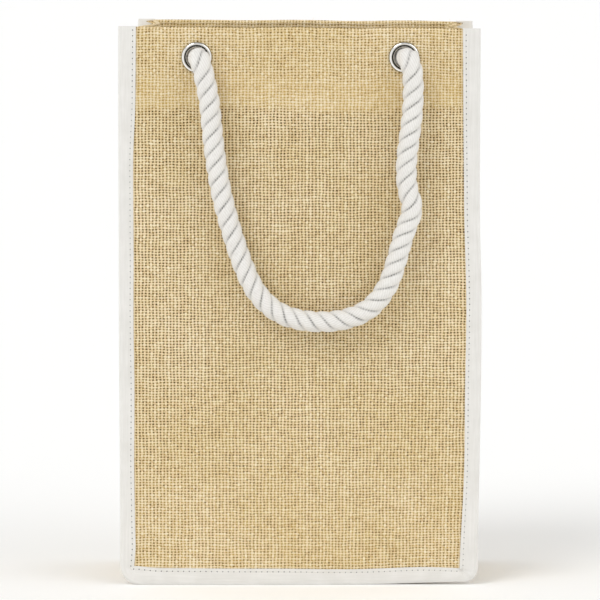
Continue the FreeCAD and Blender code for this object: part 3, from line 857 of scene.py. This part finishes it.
def make_panel(half, sign):
    """Front or back panel: one piece of jute, folded in at the top to a deep hem."""
    step, columns = 2.2 * MM, 97
    edge_low = HALF_WIDTH - CLOTH_CUT
    path, along = walk(hem_section(edge_low), step)
    depth, height = path[:, 0], path[:, 1]
    past_fold = along - (HEIGHT - edge_low)
    # The hem is cut narrower, to lie between the two seams.
    width = CLOTH_CUT - corner_inset(height, edge_low, CORNER - edge_low)
    width = width - ease(past_fold / (5 * MM)) * 12.4 * MM
    x = width[:, None] * np.linspace(-1, 1, columns)
    y = np.repeat((FACE - depth)[:, None], columns, axis=1)
    heights = np.repeat(height[:, None], columns, axis=1)
    # Its inner layer hangs a little unevenly.
    inner = ease(past_fold / (12 * MM))[:, None]
    inner = inner * (1 - ease((heights - HEIGHT + 10 * MM) / (10 * MM)))
    z = heights + inner * 0.5 * MM * waves(x, x * 0, 51 + sign, 70)
    points = settle(np.stack([x * -sign, y * sign, z], axis=-1))
    cut_from = 0.3 * (1 + sign)         # where across the cloth it is cut, in metres
    flat = np.stack([x + cut_from, np.repeat(along[:, None], columns, axis=1)], axis=-1)
    marks = {"backing_and_painted_light": hem_and_painted_light(x, heights)}
    panel = grid_object(f"{half}_panel_jute", points, flat, JUTE, marks, eyelet_holes)
    thickened(panel, CLOTH * DRAWN_SHARE)
    roughen_jute(panel, clear_of_seams)
    on_bag(panel, f"{half}_panel")


def u_path(edge, low, left, right, top, step):
    """Points and outward normals in XZ, down the left side, along the bottom and up the right.

    left and right are the radii of the two corners.
    """
    path = [(-edge, top)]
    path += arc((-edge + left, low + left), left, 180, 270, 13)
    path += arc((edge - right, low + right), right, 270, 360, 13)
    path += [(edge, top)]
    places, along = walk(path, step)
    tangents = np.gradient(places, axis=0)
    tangents /= np.linalg.norm(tangents, axis=1)[:, None]
    outward = np.stack([tangents[:, 1], -tangents[:, 0]], axis=1)
    return places, outward, along


def make_gusset():
    """One strip for both sides and the bottom, its edges turned out into the bound seams."""
    clear = 0.3 * MM                    # between the cloth's bends and the tape's inner edge
    cut_from = 1.1                      # where across the cloth it is cut, in metres
    wall = gusset_high.x - (SEAM_WIDTH - clear) - CLOTH / 2
    floor = SEAM_WIDTH + clear + CLOTH / 2
    reach = CLOTH_CUT - wall
    flange_y = gusset_high.y - CLOTH / 2
    bend, corner, step = 1.2 * MM, 5.6 * MM, 2.6 * MM
    top = HEIGHT - CLOTH / 2
    path, outward, along = u_path(wall, floor, corner, corner, top, step)

    half_section = [(reach, flange_y), (bend, flange_y)]
    half_section += arc((bend, flange_y - bend), bend, 90, 180, 5)[1:]
    section = [(out, -y) for out, y in half_section]
    section += [(0, y) for y in np.linspace(-flange_y + 2 * bend, flange_y - 2 * bend, 37)]
    section += half_section[::-1]
    section = np.array(section)
    out, y = section[:, 0], section[:, 1]
    spread = np.concatenate([[0], np.cumsum(np.linalg.norm(np.diff(section, axis=0), axis=1))])

    # Each top end is folded in and down: the flanges end at the fold.
    hem, hem_along = walk([(CLOTH / 2 + 0.6 * MM, HEIGHT - CLOTH / 2),
                           (CLOTH * 1.8, HEIGHT - CLOTH * 1.5),
                           (CLOTH * 1.6, HEIGHT - HEM_DEPTH)], step)
    inward, hem_height = hem.T
    left_hem = np.stack([-wall + inward, hem_height], axis=1)[::-1]
    right_hem = np.stack([wall - inward, hem_height], axis=1)
    leftward, rightward = np.tile((-1.0, 0.0), (len(hem), 1)), np.tile((1.0, 0.0), (len(hem), 1))
    centres = np.concatenate([left_hem, path, right_hem])
    normals = np.concatenate([leftward, outward, rightward])
    flats = np.concatenate([-hem_along[::-1], along, along[-1] + hem_along])
    hems = np.ones((len(centres), 1))
    hems[len(hem):-len(hem)] = 0

    hem_half_width = flange_y - 2.5 * MM
    narrow = np.clip(y, -hem_half_width, hem_half_width)
    out_rows = out[None, :] * (1 - hems)
    y_rows = y[None, :] * (1 - hems) + narrow[None, :] * hems
    x = centres[:, :1] + normals[:, :1] * out_rows
    z = centres[:, 1:] + normals[:, 1:] * out_rows
    # The empty sides draw inwards with a soft crease up the middle, by 2 mm low down and 7 mm at
    # the mouth.
    level = np.clip(centres[:, 1:] / HEIGHT, 0, 1)
    across = np.clip(np.abs(y_rows) / flange_y, 0, 1)
    belly = (1 - across ** 2) ** 2 * 0.55 + np.clip(1 - across * 1.25, 0, 1) * 0.45
    side = np.abs(normals[:, :1])
    drawn = (2.2 + 5.2 * level ** 1.6) * ease((centres[:, 1:] - 0.02) / 0.09) * MM
    x = x - np.sign(normals[:, :1]) * side * drawn * belly
    # The bottom sags between its edges.
    sag = (1 - across ** 2) * (1 - (centres[:, :1] / wall) ** 2) * 2.2 * MM
    z = z - (1 - side) * sag * (np.abs(centres[:, 1:] - floor) < 6 * MM)
    z = z + 0.4 * MM * waves(x, y_rows, 61, 60) * (1 - side)
    x = x + 0.5 * MM * waves(y_rows, z, 62, 70) * side * belly
    points = settle(np.stack([x, y_rows, z], axis=-1))
    flat = np.stack([np.repeat(spread[None, :] + cut_from, len(centres), axis=0),
                     np.repeat(flats[:, None], len(spread), axis=1)], axis=-1)
    height = np.repeat(centres[:, 1:], len(spread), axis=1)
    marks = {"backing_and_painted_light": 0.5 * ease((height - HEIGHT + HEM_DEPTH) / (1.5 * MM))}
    gusset = grid_object("gusset_strip_jute", points, flat, JUTE, marks)
    thickened(gusset, CLOTH * DRAWN_SHARE)
    roughen_jute(gusset, clear_of_seams)
    on_bag(gusset, "gusset_strip")


def make_divider():
    """One layer of jute across the middle, its edges turned to opposite sides."""
    low, top = divider_low.z, divider_high.z
    cut_from = 1.6                      # where across the cloth it is cut, in metres
    reach = divider_high.y - CLOTH / 2
    flange = divider_high.x
    bend, step, levels = 1.5 * MM, 2.5 * MM, np.linspace(low, top, 100)
    section = [(flange, -reach), (bend, -reach), (0, -reach + bend)]
    section += [(0, y) for y in np.linspace(-reach + 2 * bend, reach - 2 * bend, 30)]
    section += [(0, reach - bend), (-bend, reach), (-flange, reach)]
    section, spread = walk(section, step)
    x = np.repeat(section[None, :, 0], len(levels), axis=0)
    y = np.repeat(section[None, :, 1], len(levels), axis=0)
    z = np.repeat(levels[:, None], len(spread), axis=1)
    # Between the panels it bows from side to side, and its top edge dips.
    loose = 1 - np.clip(np.abs(y) / reach, 0, 1) ** 2
    x = x + loose * (2.4 * waves(y, z, 71, 26) + 0.4 * waves(y, z, 72, 90)) * MM
    z = z - loose * ease((z - 0.2) / 0.09) * 2.5 * MM
    points = settle(np.stack([x, y, z], axis=-1))
    flat = np.stack([np.repeat(spread[None, :] + cut_from, len(levels), axis=0), z], axis=-1)
    divider = grid_object("divider_jute", points, flat, JUTE, {"backing_and_painted_light": x * 0})
    thickened(divider, CLOTH * DRAWN_SHARE)
    roughen_jute(divider, lambda points: points[:, 2] > low + 8 * MM)
    on_bag(divider, "divider")


# The tape's inner edge, as sewn: how far in from the bag's edge it lies, in millimetres, at
# heights up the left side, at distances along the bottom and at heights up the right side.
TAPE_LEFT = [(12.4, 8.3), (20, 9.6), (38, 9.0), (270, 9.1), (300, 10.6), (350, 10.9)]
TAPE_BOTTOM = [(-104.2, 12.4), (-93, 10.8), (0, 10.3), (80, 10.0), (101.7, 8.8)]
TAPE_RIGHT = [(8.8, 11.3), (30, 10.4), (54, 9.7), (200, 9.4), (330, 10.8), (350, 11.0)]
JUTE_CORNERS = [(-104.2, 12.4), (101.7, 8.8)]       # where two inner edges meet


def tape_reach(edge, at):
    """One inner edge's distance in, smoothed over a few millimetres, with a little wander."""
    places, reaches = zip(*edge)
    at = np.asarray(at, float) / MM
    mean = sum(np.interp(at + nudge, places, reaches) for nudge in (-6, -3, 0, 3, 6)) / 5
    return (mean + 0.18 * waves(at * MM, at * 0, len(places), 110)) * MM


def tape_edge(outline):
    """The inner edge's point for each point of the bag's outline: past a corner it stays there."""
    left, right = np.array(JUTE_CORNERS) * MM
    x, z = outline[:, 0], outline[:, 1]
    on_left = (x < 0) & (z - left[1] > x - left[0])
    on_right = (x > 0) & (z - right[1] > right[0] - x)
    heights = np.where(x < 0, np.maximum(z, left[1]), np.maximum(z, right[1]))
    across = np.clip(x, left[0], right[0])
    edge = np.stack([across, tape_reach(TAPE_BOTTOM, across)], axis=1)
    for chosen, inner_x in ((on_left, -HALF_WIDTH + tape_reach(TAPE_LEFT, heights)),
                            (on_right, HALF_WIDTH - tape_reach(TAPE_RIGHT, heights))):
        edge[chosen] = np.stack([inner_x, heights], axis=1)[chosen]
    return edge


def make_binding(half, sign):
    """White tape folded round the raw edges, mitred at the two bottom corners."""
    outer = -tape_low.y
    inner = -tape_high.y
    fold = (outer - inner) / 2 - TAPE / 2
    middle = (outer + inner) / 2
    top, right_corner, step = HEIGHT + 0.2 * MM, 8.5 * MM, 1.2 * MM
    outline, _, along = u_path(HALF_WIDTH, 0, CORNER, right_corner, top, step)
    edge = tape_edge(outline)
    across = edge - outline
    width = np.linalg.norm(across, axis=1)[:, None]
    across = across / width

    # A leaf in steps from the fold in to its edge: some a set way from one, some from the other.
    from_fold = np.array([0, 0.15, 0.5, 1.1, 2.0, 3.2, 4.6]) * MM
    from_edge = np.array([3.3, 2.6, 2.0, 1.4, 0.7, 0]) * MM
    leaf = np.concatenate([np.repeat(from_fold[None], len(along), axis=0), width - from_edge],
                          axis=1)
    fold_length, fullness = 6 * MM, 2.4  # how soon, and how squarely, it reaches full thickness
    plump = (1 - np.clip(1 - leaf / fold_length, 0, 1) ** fullness) ** (1 / fullness)
    in_from_edge = width - leaf
    # Its edges are loose, the stitches draw it in, and it is slack elsewhere; in millimetres.
    loose = ease(1 - in_from_edge / (3 * MM))
    sewn = np.exp(-((in_from_edge - STITCH_INSET) / (0.7 * MM)) ** 2)
    pull = 0.08 + 0.06 * np.cos(2 * math.pi * along / STITCH_PITCH)[:, None]
    lift = 0.14 * waves(along, along * 0, 95 + sign, 190)[:, None] * loose - pull * sewn
    total = along[-1]
    # At each bottom corner the tape is folded over itself, which leaves a step and wrinkles.
    mitre = np.zeros_like(along)
    wrinkle = np.zeros_like(along)
    for centre, size in ((HEIGHT - CORNER + 0.8 * CORNER, 0.35),
                         (total - HEIGHT + 1.5 * MM, 0.55)):
        gap = (along - centre) / MM
        mitre += size * ease((gap + 4.5) / 4.5) * (gap < 0.3)
        wrinkle += size * 0.5 * np.exp(-(gap / 7) ** 2) * np.sin(gap * 1.3)
    corner = (mitre + wrinkle)[:, None] * ease(leaf / (4 * MM))
    slack = 0.10 * waves(along, along * 0, 97, 60)[:, None] * plump
    y_front = middle + fold * plump + (lift + corner + slack) * MM
    y_back = middle - fold * plump - (lift * 0.6 + corner * 0.4) * MM
    stray = 0.35 * MM * waves(along, along * 0, 88, 55)[:, None] * loose

    leaf_back = leaf + stray
    reach = np.concatenate([leaf[:, ::-1], leaf_back[:, 1:]], axis=1)
    y = np.concatenate([y_front[:, ::-1], y_back[:, 1:]], axis=1)
    x = outline[:, :1] + across[:, :1] * reach
    z = outline[:, 1:] + across[:, 1:] * reach
    # Its two ends are turned in, so that they are closed.
    rows = np.concatenate([[0], np.arange(len(along)), [-1]])
    x, y, z = x[rows], y[rows], z[rows]
    y[[0, -1]] = middle
    along = along[rows] + np.concatenate([[-fold], along * 0, [fold]])
    points = settle(np.stack([x * -sign, y * sign, z], axis=-1))
    spread = np.concatenate([-leaf[:, ::-1], leaf_back[:, 1:]], axis=1)[rows]
    flat = np.stack([spread, np.repeat(along[:, None], spread.shape[1], axis=1)], axis=-1)
    binding = grid_object(f"{half}_binding_tape", points, flat, TAPE_WHITE)
    thickened(binding, TAPE * DRAWN_SHARE, crease=60)
    on_bag(binding, f"{half}_binding")
    return binding


# ---------------------------------------------------------------- stitching


def stitch_tree():
    """Geometry nodes that sew along a line: a hole at each pitch and a stitch between two.

    Each hole is a flat dark bead of painted shade.
    """
    tree = bpy.data.node_groups.new("lockstitch_row", "GeometryNodeTree")
    tree.interface.new_socket("Geometry", in_out="OUTPUT", socket_type="NodeSocketGeometry")
    tree.interface.new_socket("Geometry", in_out="INPUT", socket_type="NodeSocketGeometry")
    for name in ("Pitch", "Thread", "Hole"):
        tree.interface.new_socket(name, in_out="INPUT", socket_type="NodeSocketFloat")
    stitch_share, hole_flatness = 0.72, 0.24    # of the pitch, and of the hole's width
    given = add(tree, "NodeGroupInput")
    line = add(tree, "GeometryNodeMeshToCurve", given["Geometry"])[0]
    half = add(tree, "ShaderNodeMath", given["Pitch"], 0.5, operation="MULTIPLY")[0]
    spaced = add(tree, "GeometryNodeResampleCurve", {"Curve": line, "Length": half},
                 mode="LENGTH")[0]
    number = add(tree, "GeometryNodeInputIndex")[0]
    between = add(tree, "ShaderNodeMath", number, 2.0, operation="MODULO")[0]
    at_hole = add(tree, "ShaderNodeMath", 1.0, between, operation="SUBTRACT")[0]
    tangent = add(tree, "GeometryNodeInputTangent")[0]
    turn = add(tree, "FunctionNodeAlignRotationToVector", {"Vector": tangent}, axis="X")[0]
    bead = add(tree, "GeometryNodeMeshUVSphere", {"Segments": 8, "Rings": 5, "Radius": 0.5})[0]
    reach = add(tree, "ShaderNodeMath", given["Pitch"], stitch_share, operation="MULTIPLY")[0]
    shallow = add(tree, "ShaderNodeMath", given["Hole"], hole_flatness, operation="MULTIPLY")[0]
    stitch = add(tree, "ShaderNodeCombineXYZ", reach, given["Thread"], given["Thread"])[0]
    hole = add(tree, "ShaderNodeCombineXYZ", given["Hole"], shallow, given["Hole"])[0]
    parts = []
    for chosen, size, rotation, material in ((between, stitch, turn, THREAD_WHITE),
                                             (at_hole, hole, None, THREAD_SHADE)):
        placed = add(tree, "GeometryNodeInstanceOnPoints",
                     {"Points": spaced, "Selection": chosen, "Instance": bead,
                      "Rotation": rotation, "Scale": size})[0]
        real = add(tree, "GeometryNodeRealizeInstances", placed)[0]
        smooth = add(tree, "GeometryNodeSetShadeSmooth", real)[0]
        parts.append(add(tree, "GeometryNodeSetMaterial",
                         {"Geometry": smooth, "Material": material})[0])
    joined = add(tree, "GeometryNodeJoinGeometry")
    for part in parts:
        tree.links.new(part, joined[0].node.inputs[0])
    add(tree, "NodeGroupOutput", joined[0])
    return tree


STITCHES = stitch_tree()


def stitch_line():
    """The seam's line in XZ, a set way outside the tape's inner edge, square at the corners."""
    left, right = np.array(JUTE_CORNERS) * MM
    heights = np.linspace(HEIGHT - 2 * MM, left[1] - STITCH_INSET, 60)
    down = np.stack([-HALF_WIDTH + tape_reach(TAPE_LEFT, heights) - STITCH_INSET, heights], axis=1)
    across = np.linspace(left[0] - STITCH_INSET / 2, right[0] + STITCH_INSET / 2, 50)
    along = np.stack([across, tape_reach(TAPE_BOTTOM, across) - STITCH_INSET], axis=1)
    heights = np.linspace(right[1] - STITCH_INSET / 2, HEIGHT - 2 * MM, 60)
    up = np.stack([HALF_WIDTH - tape_reach(TAPE_RIGHT, heights) + STITCH_INSET, heights], axis=1)
    return walk(np.concatenate([down, along, up]), STITCH_PITCH / 4)[0]


def make_stitches(name, node, binding, sign, outwards):
    """The stitches that one thread of a seam shows on its face of the tape."""
    path = stitch_line()
    surface_y = -tape_low.y if outwards else -tape_high.y
    y = np.full(len(path), surface_y)
    line = settle(np.stack([path[:, 0] * -sign, y * sign, path[:, 1]], axis=-1))
    tape = BVHTree.FromPolygons([vertex.co for vertex in binding.data.vertices],
                                [face.vertices for face in binding.data.polygons])
    towards = Vector((0, -sign if outwards else sign, 0))
    # The line is moved on to the tape's face, and sinks a hair's breadth into it.
    for index, point in enumerate(line):
        hit = tape.ray_cast(Vector(point) - towards * 5 * MM, towards)[0]
        if hit is not None:
            line[index] = hit + towards * 0.02 * MM
    mesh = bpy.data.meshes.new(name)
    edges = [(i, i + 1) for i in range(len(line) - 1)]
    mesh.from_pydata([tuple(point) for point in line], edges, [])
    thing = add_object(name, mesh)
    modifier = thing.modifiers.new("stitches", "NODES")
    modifier.node_group = STITCHES
    for socket, value in (("Pitch", STITCH_PITCH), ("Thread", THREAD), ("Hole", NEEDLE_HOLE)):
        set_input(modifier, socket, value)
    finished(thing)
    on_bag(thing, node)


# ---------------------------------------------------------------- eyelets


def lathe_object(name, profile, centre, inward, material, around=72):
    """A ring turned from a closed profile of (radius, depth into the bag, painted darkness)."""
    angles = np.linspace(0, 2 * math.pi, around, endpoint=False)[:, None]
    radius, depth, dark = np.array(profile).T
    x = centre[0] + np.cos(angles) * radius
    y = centre[1] + inward * np.repeat(depth[None, :], around, axis=0)
    z = centre[2] + np.sin(angles) * radius
    points = np.stack([x, y, z], axis=-1).reshape(-1, 3)
    index = np.arange(len(points)).reshape(around, -1)
    after = np.roll(index, -1, axis=0)
    following = np.roll(index, -1, axis=1)
    beyond = np.roll(after, -1, axis=1)
    quads = np.stack([index, following, beyond, after], axis=-1).reshape(-1, 4)
    if inward > 0:
        quads = quads[:, ::-1]
    thing = mesh_object(name, points, quads.tolist(), material)
    mark_points(thing, "painted_dark", np.tile(dark, around))
    thing.data.set_sharp_from_angle(angle=math.radians(50))
    return thing


def make_eyelet(place, side, sign):
    """Rolled rim, barrel and turned-over lip in one pressing, and the washer behind."""
    bore = EYELET_RIM - 3.2 * MM
    crest = EYELET_RIM - 1.3 * MM       # where the rim stands highest
    height = RIM_FRONT - FACE
    back = FACE + eyelet_high.y
    wall = 0.45 * MM                    # thickness of the pressed metal

    # Over the rim, into the bore, round the lip behind the washer, and back inside the metal.
    turns = np.radians([0, 8, 20, 34, 48, 62, 76, 90, 104, 118, 132, 146])
    # Painted reflection darkens the rim's outer and inner flanks, and painted shade darkens the
    # groove inside the rim and the bore.
    darks = [1.0, 1.0, 0.9, 0.6, 0.1, 0, 0, 0, 0.1, 0.8, 1.0, 1.0]
    fullness = 0.85
    dome = [(crest + (EYELET_RIM - crest) * math.cos(a), -height * math.sin(a) ** fullness, dark)
            for a, dark in zip(turns, darks)]
    mouth = [(bore + 0.86 * MM, -0.72 * MM, 1.0), (bore + 0.66 * MM, -0.66 * MM, 1.0),
             (bore + 0.54 * MM, -0.80 * MM, 0.5), (bore + 0.38 * MM, -0.98 * MM, 0),
             (bore + 0.14 * MM, -0.94 * MM, 0), (bore + 0.02 * MM, -0.66 * MM, 0.4),
             (bore, -0.2 * MM, 1.0), (bore, back * 0.5, 1.0), (bore, back - 0.5 * MM, 0.5)]
    lip = [(bore + 0.15 * MM, back - 0.12 * MM, 0), (bore + 0.5 * MM, back, 0),
           (bore + 1.1 * MM, back - 0.03 * MM, 0), (bore + 1.5 * MM, back - 0.2 * MM, 0),
           (bore + 1.6 * MM, back - 0.5 * MM, 0), (bore + 1.1 * MM, back - 0.56 * MM, 0.5),
           (bore + wall, back - 0.7 * MM, 0.5)]
    hidden = [(bore + wall, 0, 0.5), (bore + 1.2 * MM, -0.6 * MM, 0.5),
              (crest, wall - height, 0.5), (EYELET_RIM - wall, -0.4 * MM, 0.5),
              (EYELET_RIM - wall, 0, 0.5)]
    profile = dome + mouth + lip + hidden
    centre = (side * EYELET_X, sign * FACE, EYELET_Z)
    eyelet = lathe_object(f"{place}_eyelet_pressing", profile, centre, -sign, NICKEL)
    on_bag(eyelet, f"{place}_eyelet")

    front = FACE - WASHER_FRONT
    far = FACE - WASHER_BACK
    edge, dish = 0.2 * MM, 0.12 * MM
    hole = bore + 0.75 * MM
    # Painted shade darkens the washer's hole and its dish.
    ring = [(EYELET_RIM, front + edge, 0), (EYELET_RIM - edge, front, 0), (hole + edge, front, 0),
            (hole, front + edge, 0.5), (hole, far - edge, 0.5), (hole + edge, far - dish, 0.5),
            (EYELET_RIM - 1.2 * MM, far - dish, 0.3), (EYELET_RIM - 0.9 * MM, far, 0),
            (EYELET_RIM - edge, far, 0), (EYELET_RIM, far - edge, 0)]
    washer = lathe_object(f"{place}_eyelet_washer_ring", ring, centre, -sign, NICKEL)
    on_bag(washer, f"{place}_eyelet_washer")


# ---------------------------------------------------------------- rope


def rope_object(name, line, diameter, around=72, squeezed=1):
    """Soft strands laid together: a tube whose section has a lobe for each, and turns.

    squeezed is each ring's share of the full thickness.
    """
    spacing = np.linalg.norm(np.diff(line, axis=0), axis=1).mean()
    lobe = 2 * math.pi / STRANDS
    rings = np.arange(len(line))[:, None]
    angles = np.linspace(0, 2 * math.pi, around, endpoint=False)[None, :]
    turned = angles - 2 * math.pi * rings * spacing / ROPE_LAY
    away = np.abs((turned + lobe / 2) % lobe - lobe / 2) / (lobe / 2)
    strand = np.floor((turned + lobe / 2) / lobe) % STRANDS
    # A strand is rounded over its crown and drops steeply into the groove beside it. away is 0 at
    # the crown and 1 in the groove.
    full = 1.05 * (1 - 0.13 * away ** 2.4 - 0.26 * away ** 11)
    # Each strand swells and thins a little along the rope, and the painted shade in its groove
    # is darker in places.
    uneven = 1 + 0.02 * np.sin(rings * spacing / MM * 0.31 + strand * 2.1)
    radii = diameter / 2 * full * uneven * np.reshape(squeezed, (-1, 1))
    rope = tube_object(name, line, radii, ROPE_WHITE)
    # Painted shade darkens the grooves: most where they face front or back, faintly to the sides.
    outwards = point_places(rope)[:-2].reshape(*radii.shape, 3) - line[:, None]
    facing = np.abs(outwards[:, :, 1]) / np.linalg.norm(outwards, axis=2)
    patchy = 0.75 + 0.25 * np.sin(rings * spacing / MM * 0.83 + strand) ** 2
    narrow, at_side = 17, 0.12
    turned_away = at_side + 0.88 * ease(facing * 1.35 - 0.25)
    depth = away ** narrow * patchy * turned_away
    # The middles of the end caps get painted shade too.
    in_caps = [0.6, 0.6]
    depth = np.concatenate([depth.ravel(), in_caps])
    mark_points(rope, "painted_dark", depth)
    return roughen_cotton(rope)


# A stopper knot's route, in millimetres: in from the washer, across, and up. The rope runs in,
# turns back, goes once round itself and ends in a short tail.
KNOT_ROUTE = [
    (-1.0, 0.0, 0.0), (4.0, 0.0, 0.0), (10.0, 0.0, 0.0), (17.0, 1.0, 1.0), (22.0, 6.0, -1.0),
    (20.0, 12.0, -4.0), (14.0, 10.0, -9.5), (10.0, 1.0, -12.0), (8.5, -9.0, -8.0),
    (9.0, -11.5, 1.0), (11.0, -6.5, 8.0), (14.5, 3.5, 8.0), (17.5, 9.5, 3.5),
    (20.0, 9.0, -5.0), (21.0, 6.0, -14.0), (20.0, 4.5, -22.0),
]
KNOT_SHARE = 0.76                       # of its thickness, to which a knot draws the rope


def make_knot(place, side, sign):
    """The stopper knot inside the bag at one end of a rope."""
    start = Vector((side * EYELET_X, sign * KNOT_FACE, EYELET_Z))
    route = [start + Vector((across * side, -sign * inward, up)) * MM
             for inward, across, up in KNOT_ROUTE]
    line = smooth_line(route, 1.0 * MM)
    knot = rope_object(f"{place}_rope_knot", line, ROPE * KNOT_SHARE, around=48)
    on_bag(knot, f"{place}_rope_end")
    return knot


def make_handle(half, sign):
    """One rope, from knot to knot."""
    turned = np.array([-sign, -sign, 1])
    spacing = 1.1                       # of the rings, in millimetres
    line = smooth_line(rope_route(), spacing * MM) * turned
    from_end = np.arange(len(line)) * spacing * MM
    from_end = np.minimum(from_end, from_end[::-1])
    # The eyelets squeeze it to 0.93 of its thickness.
    squeezed = 0.93 + 0.07 * ease((from_end - 8 * MM) / (7 * MM))
    handle = rope_object(f"{half}_handle_rope", line, ROPE, squeezed=squeezed)
    names = [f"{half}_{word}_rope_bend" for _, word in SIDES]
    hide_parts(f"{half}_rope_handle", *names)
    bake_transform(handle)
    knots = [make_knot(f"{half}_{word}", side, sign) for side, word in SIDES]


for half, sign in HALVES:
    make_handle(half, sign)
for half, sign in HALVES:
    make_panel(half, sign)
    tape = make_binding(half, sign)
    for kind, outwards in (("needle", True), ("bobbin", False)):
        make_stitches(f"{half}_{kind}_stitches", f"{half}_{kind}_thread", tape, sign, outwards)
    for side, word in SIDES:
        make_eyelet(f"{half}_{word}", side, sign)
make_gusset()
make_divider()
